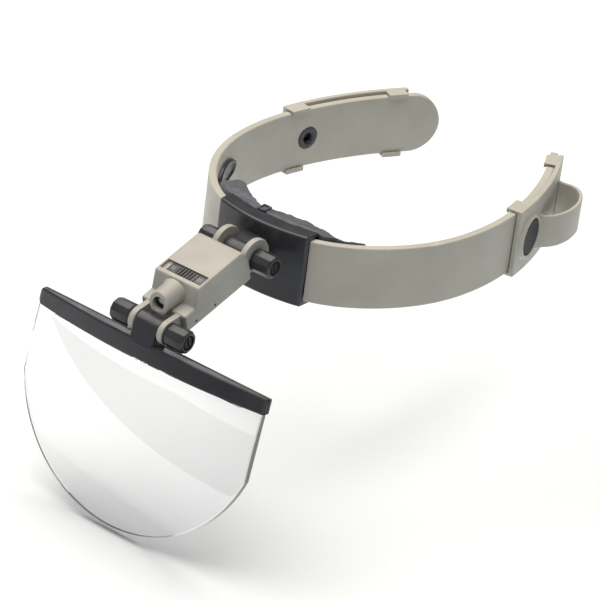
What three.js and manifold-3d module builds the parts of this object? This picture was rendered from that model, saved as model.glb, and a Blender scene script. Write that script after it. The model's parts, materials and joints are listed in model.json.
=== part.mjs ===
// Head visor magnifier: a headband carries a tilting lamp housing, which carries a tilting lens.
// Millimetres, +Z up, lens towards -Y, wearer's left hand side towards +X.
// The origin is the middle of the forehead pad's rear face, half way up the band.
import * as THREE from 'three';
import { mergeVertices } from 'three/addons/utils/BufferGeometryUtils.js';
import Module from 'manifold-3d';

const wasm = await Module();
wasm.setup();

// ---- driving dimensions ----
const RUNNING_GAP = 0.3;         // between separate pieces that touch or slide
const SIDES = { left: 1, right: -1 };   // wearer's left is +X

// band
const BAND_HALF_HEIGHT = 13;
const BAND_THICKNESS = 3.3;
const ARM_ROOT = { x: 5.43, y: -14.08, heading: 5.2 };   // front end of the outer face, degrees from +X
const ARM_ARCS = [                                       // the outer face, from the plate to the tip
  { radius: 69.3, length: 14.5 },
  { radius: 24, length: 2.5 },
  { radius: 51.4, length: 20 },
  { radius: 72.1, length: 45 },
  { radius: 108, length: 35 },
  { radius: 162, length: 72 },
];
const ARM_LENGTH = ARM_ARCS.reduce((sum, arc) => sum + arc.length, 0);
const BUTTON_STATION = 125.5;    // distance along the arm of the lock button and its eyelet
const PAD_TAB = { station: 67, halfLength: 10.5, halfHeight: 4.6, thickness: 1.5, lift: 2 };

// front plate and the pad behind it
const PLATE_HALF_WIDTH = 21.8;
const PLATE_HALF_HEIGHT = 15;
const PLATE_FRONT = -16;
const PLATE_CURVE = 0.00721;     // the plate's face is y = PLATE_FRONT + PLATE_CURVE * x * x
const PLATE_WALL = 1.5;
const PLATE_DEPTH = 7.2;
const COVER_FRONT = -10.35;
const COVER_THICKNESS = 1.8;
const COVER_HALF_WIDTH = 20;
const PLATE_SCREW = { z: 9.4, post: 2, pilot: 1.15, hole: 1.3, head: 2 };
const PAD_FRONT = -8.2;
const FOREHEAD_RADIUS = 95;
const PAD_HALF_HEIGHT = 14;
const PAD_CLIP = { x: [-7.2, -3.2], y: [-8.0, -3.3], height: 1.1 };

// strap holder and its lock button
const HOLDER = { start: 115, end: 175, gap: 0.25, thickness: 2.2, halfHeight: 14.3 };
const HOOKS = [{ start: 115, end: 124.4 }, { start: 164.4, end: 173 }];
const LIP = { thickness: 0.9, overlap: 0.7 };   // the hooks' lips behind the arm's edges
const BOSS = { radius: 9.3, height: 1.4 };
const BUTTON = { radius: 7.5, thickness: 0.9, pin: 1.5, sunk: 0.2, travel: 1.2 };
const EYELET = { radius: 4.9, bore: 2 };
const GROOVE = { length: 13.4, halfHeight: 1.9, depth: 1.5 };   // guides the button's pin along the arm
const LOOP = { start: 135.2, thickness: 1.5, halfHeight: 7, middle: -2 };

// both tilting hinges are built alike
const REAR_PIN = { y: -25.64, z: 4.74 };
const HOUSING_PITCH = 17.14;     // degrees that the housing points down
const FRONT_PIN = { y: -50.6, z: -0.66 };   // in the housing's own frame
const LENS_TILT = 11.57;         // degrees that the lens's lower edge leans forward
const BARREL = { radius: 4.4, halfWidth: 5.5, bore: 1.8 };
const EAR = { inner: 5.8, outer: 8.4, rearRadius: 8.1, frontRadius: 4.8 };
const WASHER = { inner: 8.55, outer: 9.1, radius: 4.5 };
const KNOB = { inner: 9.25, outer: 18, radius: 4.7, sides: 10, recess: 2.9, recessDepth: 1.3 };
const BOLT = { radius: 1.5, hole: 1.8, headRadius: 2.5, headDepth: 1 };

// lamp housing, in its own frame: y runs rearwards from the rear pin, z is up
const HOUSING = { halfWidth: 11, top: 11.17, bottom: -4.16, rear: -6.15, topFront: -34.8, faceFoot: -38.1 };
const SHELF = { top: 3.64, front: -43.8 };
const CAVITY = { halfWidth: 10.2, rear: -7.4, front: -36.4, ceiling: 9.9, switchCeiling: 8.7 };
const NOSE = { z: 6.6, radius: 4.9, crestFront: -44.2, chinFront: -47.2, chin: 3.35 };
const LED = { radius: 2.5, tip: -44.6, seat: -37.4, bore: 2.8, leadX: 1.27 };
const POCKET = { halfWidth: 9.9, front: -33.1, rear: -27.7, floor: 9.95 };
const SWITCH = { min: -7.4, max: 9.7, stemHalfWidth: 1.5, stemCentre: 1.2, travel: 2 };
const CASE_SCREW = { x: 7.7, y: -33.7, post: 1.9, postTop: 4.5, pilot: 0.9 };
const CELL = { radius: 10, thickness: 3.2, y: -18.6, floors: { lower: -2.3, upper: 1.1 } };

// visor, in its own frame: origin on the front pin, z down the lens is negative, y is rearwards
const RAIL = { halfWidth: 56.3, top: -7.4, bottom: -13.55, split: 4.0, rear: 5.9, endFront: 2.5, bow: 6.5 };
const RAIL_TOP_BOW = 7.5;
const RAIL_TOP_RISE = 1.5;
const LENS = { halfWidth: 55.7, top: -13.8, corner: -41, arcCentre: -24.6, rear: 5.2, edge: 2.9 };
const LENS_RADIUS = 238;         // the front face is part of a sphere
const LENS_AXIS_Z = -30;
const TONGUE = { halfWidth: 46, front: 2.35, rear: 3.75, top: -9.6 };
const RAIL_SCREWS = [-40, -16, 16, 40];
const RAIL_SCREW_Z = -11.4;

// ---- materials ----
const finish = (color, roughness, metalness = 0) =>
  new THREE.MeshStandardMaterial({ color, roughness, metalness });
const creamPlastic = finish(0xd8cfbb, 0.5);
const greyPlastic = finish(0xc6c5b6, 0.5);
const darkPlastic = finish(0x32343a, 0.4);
const padLeatherette = finish(0x43464e, 0.75);
const blackRubber = finish(0x141414, 0.8);
const steel = finish(0xb8bbc0, 0.3, 1);
const blackSteel = finish(0x2a2b2e, 0.45, 1);
const nickel = finish(0xd0d2d4, 0.25, 1);
const clearAcrylic = new THREE.MeshStandardMaterial({
  color: 0xe6eef0, roughness: 0.05, metalness: 0, transparent: true, opacity: 0.35,
});
const ledEpoxy = finish(0xf2f1e4, 0.15);
const boardGreen = finish(0x2f6b3c, 0.6);

// ---- solid modelling helpers ----
const radians = THREE.MathUtils.degToRad;
const ALONG_X = new THREE.Matrix4().makeBasis(
  new THREE.Vector3(0, 1, 0), new THREE.Vector3(0, 0, 1), new THREE.Vector3(1, 0, 0));

function solid(geometry) {
  const bare = geometry.clone();
  bare.deleteAttribute('normal');
  bare.deleteAttribute('uv');
  const merged = mergeVertices(bare, 1e-4);
  return new wasm.Manifold(new wasm.Mesh({
    numProp: 3,
    vertProperties: new Float32Array(merged.attributes.position.array),
    triVerts: new Uint32Array(merged.index.array),
  }));
}

function part(name, shape, material) {
  const { vertProperties, triVerts } = shape.getMesh();
  const geometry = new THREE.BufferGeometry();
  geometry.setAttribute('position', new THREE.BufferAttribute(vertProperties, 3));
  geometry.setIndex(new THREE.BufferAttribute(triVerts, 1));
  geometry.computeVertexNormals();
  const mesh = new THREE.Mesh(geometry, material);
  mesh.name = name;
  return mesh;
}

function box(x, y, z) {
  const geometry = new THREE.BoxGeometry(x[1] - x[0], y[1] - y[0], z[1] - z[0]);
  geometry.translate((x[0] + x[1]) / 2, (y[0] + y[1]) / 2, (z[0] + z[1]) / 2);
  return solid(geometry);
}

// an outline of [x, y] points, extruded upwards from z[0] to z[1]
function plate(points, z) {
  const shape = new THREE.Shape(points.map(([x, y]) => new THREE.Vector2(x, y)));
  const geometry = new THREE.ExtrudeGeometry(shape, { depth: z[1] - z[0], bevelEnabled: false });
  geometry.translate(0, 0, z[0]);
  return solid(geometry);
}

// an outline of [y, z] points, extruded along X from x[0] to x[1]
function prism(points, x) {
  const shape = new THREE.Shape(points.map(([y, z]) => new THREE.Vector2(y, z)));
  const geometry = new THREE.ExtrudeGeometry(shape, { depth: x[1] - x[0], bevelEnabled: false });
  geometry.translate(0, 0, x[0]);
  geometry.applyMatrix4(ALONG_X);
  return solid(geometry);
}

// a cylinder along +X, +Y or +Z through the given centre, from span[0] to span[1] along its axis
function rod(axis, centre, radius, span, segments = 24, radiusTop = radius) {
  const length = span[1] - span[0];
  const geometry = new THREE.CylinderGeometry(radiusTop, radius, length, segments);
  geometry.translate(0, (span[0] + span[1]) / 2, 0);
  if (axis === 'x') geometry.rotateZ(-Math.PI / 2);
  if (axis === 'z') geometry.rotateX(Math.PI / 2);
  geometry.translate(...centre);
  return solid(geometry);
}

// joins closed rings of equal length into one solid with flat ends;
// each ring runs anticlockwise as seen by someone looking along the loft
function loft(rings) {
  const count = rings[0].length;
  const positions = rings.flat(2);
  const indices = [];
  for (let ring = 0; ring + 1 < rings.length; ring++) {
    for (let corner = 0; corner < count; corner++) {
      const a = ring * count + corner;
      const b = ring * count + (corner + 1) % count;
      indices.push(a, b + count, b, a, a + count, b + count);
    }
  }
  const last = (rings.length - 1) * count;
  for (let corner = 1; corner + 1 < count; corner++) {
    indices.push(0, corner, corner + 1);
    indices.push(last, last + corner + 1, last + corner);
  }
  const geometry = new THREE.BufferGeometry();
  geometry.setAttribute('position', new THREE.Float32BufferAttribute(positions, 3));
  geometry.setIndex(indices);
  return solid(geometry);
}

const union = (shapes) => shapes.reduce((sum, shape) => sum.add(shape));
const mirrored = (shape, side) => (side > 0 ? shape : shape.mirror([1, 0, 0]));

// ---- the arm's outer face in plan ----
// point and outward direction at a distance along the left arm, shifted outwards by offset
function armFrame(station, offset = 0) {
  let { x, y } = ARM_ROOT;
  let heading = radians(ARM_ROOT.heading);
  let left = station;
  for (const { radius, length } of ARM_ARCS) {
    const turn = Math.min(left, length) / radius;
    x += radius * (Math.sin(heading + turn) - Math.sin(heading));
    y += radius * (Math.cos(heading) - Math.cos(heading + turn));
    heading += turn;
    left -= length;
    if (left <= 0) break;
  }
  const outward = [Math.sin(heading), -Math.cos(heading)];
  return { x: x + offset * outward[0], y: y + offset * outward[1], outward };
}

// stations from start to end, about one step apart
function stations(start, end, step) {
  const count = Math.max(1, Math.round((end - start) / step));
  return Array.from({ length: count + 1 }, (_, i) => start + (end - start) * i / count);
}

// a strip that follows the arm between two offsets; halfHeight may change along it
function armStrip(list, inner, outer, bottom, top) {
  return loft(list.map((station) => {
    const near = armFrame(station, inner);
    const far = armFrame(station, outer);
    const low = bottom(station);
    const high = top(station);
    return [[far.x, far.y, low], [far.x, far.y, high], [near.x, near.y, high], [near.x, near.y, low]];
  }));
}

// turns a shape made along +Y (outwards) at the origin to stand on the arm's face at a station
function onArm(shape, station) {
  const { x, y, outward } = armFrame(station);
  const angle = Math.atan2(outward[1], outward[0]) - Math.PI / 2;
  return shape.rotate([0, 0, THREE.MathUtils.radToDeg(angle)]).translate([x, y, 0]);
}

// ---- headband ----
function arm() {
  const reach = BAND_HALF_HEIGHT;
  const halfHeight = (station) => {
    const fromTip = ARM_LENGTH - station;
    return fromTip >= reach ? reach : Math.sqrt(reach ** 2 - (reach - fromTip) ** 2);
  };
  const straight = stations(0, ARM_LENGTH - reach, 3.5);
  const rounded = Array.from({ length: 9 }, (_, i) =>
    ARM_LENGTH - reach * (1 - Math.sin(radians((i + 1) * 9.8))));
  const strip = armStrip([...straight, ...rounded], -BAND_THICKNESS, 0,
    (station) => -halfHeight(station), halfHeight);
  const hole = rod('y', [0, 0, 0], EYELET.radius + RUNNING_GAP, [-BAND_THICKNESS - 1, 1]);
  return strip.subtract(onArm(hole, BUTTON_STATION)).subtract(guideGroove());
}

function guideGroove() {
  const list = stations(BUTTON_STATION, BUTTON_STATION + GROOVE.length, 3.5);
  return armStrip(list, -GROOVE.depth, 1, () => -GROOVE.halfHeight, () => GROOVE.halfHeight);
}

function eyelet() {
  const ring = rod('y', [0, 0, 0], EYELET.radius, [-BAND_THICKNESS - 0.15, -0.1]);
  const bore = rod('y', [0, 0, 0], EYELET.bore, [-BAND_THICKNESS - 1, 1], 16);
  return onArm(ring.subtract(bore), BUTTON_STATION).subtract(guideGroove());
}

const plateFace = (x, inset = 0) => PLATE_FRONT + PLATE_CURVE * x * x + inset;

// a slab with the plate's curve, from inset to inset + depth behind the plate's face
function curvedSlab(halfWidth, inset, depth, z) {
  const steps = 16;
  const front = Array.from({ length: steps + 1 }, (_, i) => {
    const x = -halfWidth + 2 * halfWidth * i / steps;
    return [x, plateFace(x, inset)];
  });
  const rear = [...front].reverse().map(([x, y]) => [x, y + depth]);
  return plate([...front, ...rear], z);
}

function frontPlate() {
  const block = curvedSlab(PLATE_HALF_WIDTH, 0, PLATE_DEPTH, [-PLATE_HALF_HEIGHT, PLATE_HALF_HEIGHT]);
  const channelHalfHeight = BAND_HALF_HEIGHT + 0.35;
  const channel = curvedSlab(PLATE_HALF_WIDTH + 1, PLATE_WALL, PLATE_DEPTH,
    [-channelHalfHeight, channelHalfHeight]);
  const web = prism([
    [REAR_PIN.y, REAR_PIN.z - 3.4], [PLATE_FRONT + 0.8, REAR_PIN.z - 3.4],
    [PLATE_FRONT + 0.8, REAR_PIN.z + 3.4], [REAR_PIN.y, REAR_PIN.z + 3.4],
  ], [-BARREL.halfWidth, BARREL.halfWidth]);
  const pin = [0, REAR_PIN.y, REAR_PIN.z];
  const barrel = rod('x', pin, BARREL.radius, [-BARREL.halfWidth, BARREL.halfWidth], 20);
  const bore = rod('x', pin, BARREL.bore, [-BARREL.halfWidth - 1, BARREL.halfWidth + 1], 16);
  const posts = [-1, 1].map((end) => rod('y', [0, 0, end * PLATE_SCREW.z], PLATE_SCREW.post,
    [PLATE_FRONT + 0.8, COVER_FRONT - RUNNING_GAP], 16));
  const pilots = [-1, 1].map((end) => rod('y', [0, 0, end * PLATE_SCREW.z], PLATE_SCREW.pilot,
    [PLATE_FRONT + 1.6, COVER_FRONT + 1], 12));
  return union([block.subtract(channel), web, barrel, ...posts]).subtract(union([bore, ...pilots]));
}

function backCover() {
  const board = curvedSlab(COVER_HALF_WIDTH, COVER_FRONT - PLATE_FRONT, COVER_THICKNESS,
    [-BAND_HALF_HEIGHT, BAND_HALF_HEIGHT]);
  const behind = COVER_FRONT + COVER_THICKNESS + 1;
  const holes = [-1, 1].map((end) => rod('y', [0, 0, end * PLATE_SCREW.z], PLATE_SCREW.hole,
    [COVER_FRONT - 1, behind], 12));
  const sinks = [-1, 1].map((end) => rod('y', [0, 0, end * PLATE_SCREW.z], PLATE_SCREW.head + RUNNING_GAP,
    [COVER_FRONT + 0.7, behind], 16));
  return board.subtract(union([...holes, ...sinks]));
}

function screw(axis, centre, head, tip, headRadius, shankRadius, headDepth) {
  const direction = Math.sign(head - tip);
  const headSpan = [head - direction * headDepth, head].sort((a, b) => a - b);
  const shankSpan = [tip, head - direction * headDepth * 0.5].sort((a, b) => a - b);
  const drive = [head - direction * headDepth * 0.5, head + direction].sort((a, b) => a - b);
  return rod(axis, centre, headRadius, headSpan, 16)
    .add(rod(axis, centre, shankRadius, shankSpan, 10))
    .subtract(rod(axis, centre, headRadius * 0.4, drive, 6));
}

function foreheadPad() {
  const wing = stations(14.5, 37, 3.5).map((station) => {
    const { x, y } = armFrame(station, -BAND_THICKNESS - RUNNING_GAP);
    return [x, y];
  }).filter(([x]) => x > PLATE_HALF_WIDTH + 0.6);
  const tip = armFrame(38.5, -BAND_THICKNESS - 2);
  const inner = armFrame(37, -BAND_THICKNESS - 3.4);
  const front = [[0, PAD_FRONT], [10, PAD_FRONT + 0.8], [20.3, PAD_FRONT + 3.3],
    [PLATE_HALF_WIDTH + 0.5, PAD_FRONT + 3.3]];
  const rear = [28, 21, 14, 7].map((x) => [x, FOREHEAD_RADIUS - Math.sqrt(FOREHEAD_RADIUS ** 2 - x * x)]);
  const half = [...front, ...wing, [tip.x, tip.y], [inner.x, inner.y], ...rear];
  const other = half.slice(1).reverse().map(([x, y]) => [-x, y]);
  return plate([...half, [0, 0], ...other], [-PAD_HALF_HEIGHT, PAD_HALF_HEIGHT]);
}

// an oval tab that lies along the arm's inner face
function padTab() {
  const { station: middle, halfLength, thickness, lift } = PAD_TAB;
  const halfHeight = (station) =>
    PAD_TAB.halfHeight * Math.sqrt(1.02 - ((station - middle) / halfLength) ** 2);
  const list = Array.from({ length: 13 }, (_, i) => middle - halfLength * Math.cos(Math.PI * i / 12));
  const face = -BAND_THICKNESS - RUNNING_GAP;
  return armStrip(list, face - thickness, face, (station) => -halfHeight(station), halfHeight)
    .translate([0, 0, lift]);
}

function padClip() {
  return box(PAD_CLIP.x, PAD_CLIP.y, [PAD_HALF_HEIGHT + 0.25, PAD_HALF_HEIGHT + PAD_CLIP.height]);
}

// ---- strap holder ----
function strapHolder() {
  const inner = HOLDER.gap;
  const outer = HOLDER.gap + HOLDER.thickness;
  const top = HOLDER.halfHeight;
  const level = (value) => () => value;
  const strip = armStrip(stations(HOLDER.start, HOLDER.end, 3.5), inner, outer, level(-top), level(top));
  const lipOuter = -BAND_THICKNESS - HOLDER.gap;
  const lipInner = lipOuter - LIP.thickness;
  const ledge = BAND_HALF_HEIGHT + HOLDER.gap;
  const hooks = HOOKS.flatMap(({ start, end }) => [-1, 1].flatMap((edge) => {
    const list = stations(start, end, 3.5);
    const band = (inside, outside, heights) => {
      const [low, high] = heights.map((height) => edge * height).sort((a, b) => a - b);
      return armStrip(list, inside, outside, level(low), level(high));
    };
    return [
      band(lipInner, inner + 0.5, [ledge, top]),
      band(lipInner, lipOuter, [BAND_HALF_HEIGHT - LIP.overlap, ledge + 0.5]),
    ];
  }));
  const boss = onArm(
    rod('y', [0, 0, 0], BOSS.radius, [inner + 0.4, outer + BOSS.height], 32, BOSS.radius - 1),
    BUTTON_STATION);
  const floor = outer + BOSS.height - BUTTON.sunk - BUTTON.thickness - BUTTON.travel - 0.1;
  const recess = onArm(rod('y', [0, 0, 0], BUTTON.radius + RUNNING_GAP, [floor, outer + 4], 32),
    BUTTON_STATION);
  const hole = onArm(rod('y', [0, 0, 0], BUTTON.pin + RUNNING_GAP, [-1, outer + 4], 16), BUTTON_STATION);
  return union([strip, boss, ...hooks]).subtract(recess.add(hole));
}

function lockButton() {
  const face = HOLDER.gap + HOLDER.thickness + BOSS.height - BUTTON.sunk;
  const disc = rod('y', [0, 0, 0], BUTTON.radius, [face - BUTTON.thickness, face], 32, BUTTON.radius - 0.5);
  const pin = rod('y', [0, 0, 0], BUTTON.pin, [0.15, face - 0.5], 16);
  return onArm(disc.add(pin), BUTTON_STATION);
}

// the loop's outer outline, as distance along the holder and height above it
const loopCurve = new THREE.CubicBezierCurve(
  new THREE.Vector2(0, 0.3), new THREE.Vector2(2, 12.5),
  new THREE.Vector2(38, 18), new THREE.Vector2(34, 0.3));

function strapLoop() {
  const base = HOLDER.gap + HOLDER.thickness;
  const count = 22;
  const rings = Array.from({ length: count + 1 }, (_, i) => {
    const point = loopCurve.getPoint(i / count);
    const tangent = loopCurve.getTangent(i / count);
    const inset = [point.x + tangent.y * LOOP.thickness, point.y - tangent.x * LOOP.thickness];
    const far = armFrame(LOOP.start + point.x, base + point.y);
    const near = armFrame(LOOP.start + inset[0], base + Math.max(inset[1], RUNNING_GAP));
    const top = LOOP.middle + LOOP.halfHeight;
    const low = LOOP.middle - LOOP.halfHeight;
    return [[far.x, far.y, low], [far.x, far.y, top], [near.x, near.y, top], [near.x, near.y, low]];
  });
  return loft(rings);
}

// ---- hinge hardware ----
function knob(side) {
  const profile = [
    [0, KNOB.inner], [KNOB.radius - 0.4, KNOB.inner], [KNOB.radius, KNOB.inner + 0.5],
    [KNOB.radius, KNOB.outer - 1], [KNOB.radius - 0.9, KNOB.outer], [0, KNOB.outer],
  ];
  const body = new THREE.LatheGeometry(profile.map(([r, h]) => new THREE.Vector2(r, h)), KNOB.sides);
  body.rotateZ(-Math.PI / 2);
  const recess = rod('x', [0, 0, 0], KNOB.recess, [KNOB.outer - KNOB.recessDepth, KNOB.outer + 1], 20);
  const bore = rod('x', [0, 0, 0], BOLT.hole, [0, KNOB.outer + 1], 16);
  return mirrored(solid(body).subtract(recess).subtract(bore), side);
}

function bolt() {
  const head = KNOB.outer - 0.25;
  const shank = rod('x', [0, 0, 0], BOLT.radius, [-KNOB.outer + 0.4, head - 0.5], 16);
  const cap = rod('x', [0, 0, 0], BOLT.headRadius, [head - BOLT.headDepth, head], 20);
  const slot = box([head - 0.5, head + 1], [-0.35, 0.35], [-2, 2]);
  return shank.add(cap).subtract(slot);
}

function nut() {
  const hex = rod('x', [0, 0, 0], BOLT.headRadius, [-KNOB.outer + 0.25, -KNOB.outer + 1.2], 6);
  return hex.subtract(rod('x', [0, 0, 0], BOLT.radius + RUNNING_GAP, [-20, 0], 16));
}

function washer(side) {
  const ring = rod('x', [0, 0, 0], WASHER.radius, [WASHER.inner, WASHER.outer], 24)
    .subtract(rod('x', [0, 0, 0], BARREL.bore + 0.2, [0, 20], 16));
  return mirrored(ring, side);
}

// ---- lamp housing ----
function ear(pin, radius, root) {
  const disc = rod('x', [0, pin.y, pin.z], radius, [EAR.inner, EAR.outer], 32);
  const neck = prism(root, [EAR.inner, EAR.outer]);
  const below = box([0, 20], [-80, 20], [-30, HOUSING.bottom]);
  return disc.add(neck).subtract(below);
}

function caseShell() {
  const { halfWidth, top, bottom, rear, topFront, faceFoot } = HOUSING;
  const block = prism([
    [rear, bottom], [rear, 4.3], [-9.1, top], [topFront, top], [faceFoot, SHELF.top],
    [SHELF.front, SHELF.top], [SHELF.front, bottom],
  ], [-halfWidth, halfWidth]);
  const inside = prism([
    [CAVITY.rear, bottom - 1], [CAVITY.rear, 4], [-10, CAVITY.ceiling], [-26.4, CAVITY.ceiling],
    [-26.4, CAVITY.switchCeiling], [-34.4, CAVITY.switchCeiling], [CAVITY.front, 3],
    [CAVITY.front, bottom - 1],
  ], [-CAVITY.halfWidth, CAVITY.halfWidth]);
  const posts = [-1, 1].map((side) => box(
    [side * CASE_SCREW.x - CASE_SCREW.post, side * CASE_SCREW.x + CASE_SCREW.post],
    [CAVITY.front - 1, CASE_SCREW.y + CASE_SCREW.post], [-2.6, CASE_SCREW.postTop]));
  const pilots = [-1, 1].map((side) =>
    rod('z', [side * CASE_SCREW.x, CASE_SCREW.y, 0], CASE_SCREW.pilot, [-5, 3], 12));
  const pocket = box([-POCKET.halfWidth, POCKET.halfWidth], [POCKET.front, POCKET.rear],
    [POCKET.floor, top + 1]);
  const slot = box([SWITCH.stemCentre - SWITCH.stemHalfWidth - SWITCH.travel - RUNNING_GAP,
    SWITCH.stemCentre + SWITCH.stemHalfWidth + RUNNING_GAP], [-31.3, -29.5], [8, top]);
  const dimples = [-27.2, -38.2].map((y) =>
    rod('x', [0, y, -2.05], 0.6, [halfWidth - 0.5, halfWidth + 1], 10));
  const ears = [-1, 1].flatMap((side) => [
    mirrored(ear({ y: 0, z: 0 }, EAR.rearRadius,
      [[0, bottom], [-4, 5], [-9.5, 5], [-9.5, bottom]]), side),
    mirrored(ear(FRONT_PIN, EAR.frontRadius,
      [[SHELF.front + 1, bottom], [FRONT_PIN.y, FRONT_PIN.z - 3.5],
        [FRONT_PIN.y, FRONT_PIN.z + EAR.frontRadius], [SHELF.front, 3.3], [SHELF.front + 1, 3.3]]), side),
  ]);
  const bores = [{ y: 0, z: 0 }, FRONT_PIN].map(({ y, z }) =>
    rod('x', [0, y, z], BOLT.hole, [-halfWidth, halfWidth], 16));
  return union([block, nose(), ...ears]).subtract(inside).add(union(posts))
    .subtract(union([pocket, slot, ...pilots, ...dimples, ...bores, noseBore()]));
}

function nose() {
  const barrel = rod('y', [0, 0, NOSE.z], NOSE.radius - 0.5, [-49, -36], 32, NOSE.radius);
  const keep = prism([
    [-36, NOSE.chin], [-36, 13], [NOSE.crestFront, 13], [NOSE.chinFront, NOSE.chin],
  ], [-8, 8]);
  return barrel.intersect(keep);
}

function noseBore() {
  const bore = rod('y', [0, 0, NOSE.z], LED.bore, [-48, -33], 20);
  const mouth = rod('y', [0, 0, NOSE.z], LED.bore + 1.1, [-48, -44.2], 20, LED.bore);
  return bore.add(mouth);
}

function caseCover() {
  const board = box([-9.9, 9.9], [CAVITY.front + RUNNING_GAP, CAVITY.rear - RUNNING_GAP],
    [HOUSING.bottom, HOUSING.bottom + 1.2]);
  const holes = [-1, 1].map((side) =>
    rod('z', [side * CASE_SCREW.x, CASE_SCREW.y, 0], 1.1, [-6, 0], 12));
  const sinks = [-1, 1].map((side) =>
    rod('z', [side * CASE_SCREW.x, CASE_SCREW.y, 0], 1.9, [-6, HOUSING.bottom + 0.6], 16));
  const thumbRidges = Array.from({ length: 5 }, (_, i) =>
    box([-5, 5], [-14.4 - i * 1.6, -13.8 - i * 1.6], [HOUSING.bottom - 1, HOUSING.bottom + 0.3]));
  return board.subtract(union([...holes, ...sinks, ...thumbRidges]));
}

function ledLamp() {
  const steps = 6;
  const dome = Array.from({ length: steps + 1 }, (_, i) => {
    const angle = Math.PI / 2 * i / steps;
    return [LED.radius * Math.cos(angle), -LED.tip - LED.radius + LED.radius * Math.sin(angle)];
  });
  const profile = [[0, -LED.seat], [LED.radius, -LED.seat], ...dome.slice(0, -1), [0, -LED.tip]];
  const body = new THREE.LatheGeometry(profile.map(([r, h]) => new THREE.Vector2(r, h)), 20);
  body.rotateX(Math.PI);
  body.translate(0, 0, NOSE.z);
  return solid(body);
}

function switchSlider() {
  const plateTop = POCKET.floor + 1.15;
  const body = box([SWITCH.min, SWITCH.max], [POCKET.front + 0.2, POCKET.rear - 0.2],
    [POCKET.floor + 0.1, plateTop - 0.35]);
  const ridges = Array.from({ length: 5 }, (_, i) =>
    box([SWITCH.stemCentre - 3.3 + i * 1.4, SWITCH.stemCentre - 2.6 + i * 1.4],
      [POCKET.front + 0.5, POCKET.rear - 0.5], [plateTop - 0.6, plateTop]));
  const stem = box([SWITCH.stemCentre - SWITCH.stemHalfWidth, SWITCH.stemCentre + SWITCH.stemHalfWidth],
    [-31, -29.8], [8.6, POCKET.floor + 0.5]);
  return union([body, stem, ...ridges]);
}

function switchBody() {
  return box([-4.4, 5.2], [-33, -27.8], [7.2, 8.4]);
}

// ---- visor ----
function railSection(x) {
  const swell = 1 - (x / RAIL.halfWidth) ** 2;
  return [
    [x, RAIL.split, RAIL.bottom],
    [x, RAIL.endFront - RAIL.bow * swell, RAIL.bottom],
    [x, RAIL.endFront - RAIL_TOP_BOW * swell, RAIL.top + 0.2 + RAIL_TOP_RISE * swell],
    [x, RAIL.split, RAIL.top],
  ];
}

function lensRail() {
  const count = 28;
  const bar = loft(Array.from({ length: count + 1 }, (_, i) =>
    railSection(RAIL.halfWidth * (2 * i / count - 1))));
  const lug = prism([
    [-BARREL.radius, 0], [-4.95, -6.4], [-4.95, -8], [3.8, -8], [3.8, -6], [BARREL.radius - 0.1, 0],
  ], [-BARREL.halfWidth, BARREL.halfWidth]);
  const barrel = rod('x', [0, 0, 0], BARREL.radius, [-BARREL.halfWidth, BARREL.halfWidth], 20);
  const bore = rod('x', [0, 0, 0], BARREL.bore, [-7, 7], 16);
  const rebate = box([-TONGUE.halfWidth - 0.4, TONGUE.halfWidth + 0.4],
    [TONGUE.front - 0.25, RAIL.split + 1], [RAIL.bottom - 1, TONGUE.top + 0.25]);
  const pilots = RAIL_SCREWS.map((x) => rod('y', [x, 0, RAIL_SCREW_Z], 0.95, [0.9, 5], 10));
  return union([bar, lug, barrel]).subtract(union([bore, rebate, ...pilots]));
}

function clampStrip() {
  const strip = box([-RAIL.halfWidth, RAIL.halfWidth], [RAIL.split + 0.2, RAIL.rear],
    [RAIL.bottom, RAIL.top]);
  const holes = RAIL_SCREWS.flatMap((x) => [
    rod('y', [x, 0, RAIL_SCREW_Z], 1.05, [0, 8], 12),
    rod('y', [x, 0, RAIL_SCREW_Z], 1.85, [RAIL.rear - 0.8, 8], 16),
  ]);
  return strip.subtract(union(holes));
}

function lens() {
  const sag = (r) => LENS_RADIUS - Math.sqrt(LENS_RADIUS ** 2 - r * r);
  const front = LENS.rear - LENS.edge - sag(57);
  const rings = 9;
  const reach = 66;
  const dome = Array.from({ length: rings + 1 }, (_, i) => {
    const r = reach * i / rings;
    return new THREE.Vector2(r, front + sag(r));
  });
  const flatBack = [new THREE.Vector2(reach, LENS.rear), new THREE.Vector2(0, LENS.rear)];
  const cap = new THREE.LatheGeometry([...dome, ...flatBack], 64);
  cap.translate(0, 0, LENS_AXIS_Z);
  const drop = LENS.arcCentre - LENS.corner;
  const arcRadius = Math.hypot(LENS.halfWidth, drop);
  const limit = Math.atan2(LENS.halfWidth, drop);
  const steps = 36;
  const arc = Array.from({ length: steps + 1 }, (_, i) => {
    const angle = limit * (2 * i / steps - 1);
    return [arcRadius * Math.sin(angle), LENS.arcCentre - arcRadius * Math.cos(angle)];
  });
  const outline = plate([...arc, [LENS.halfWidth, LENS.top], [-LENS.halfWidth, LENS.top]], [-20, 20])
    .rotate([90, 0, 0]);
  const tongue = box([-TONGUE.halfWidth, TONGUE.halfWidth], [TONGUE.front, TONGUE.rear],
    [LENS.top - 1, TONGUE.top]);
  const holes = RAIL_SCREWS.map((x) => rod('y', [x, 0, RAIL_SCREW_Z], 1.1, [0, 6], 12));
  return solid(cap).intersect(outline).add(tongue).subtract(union(holes));
}

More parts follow.
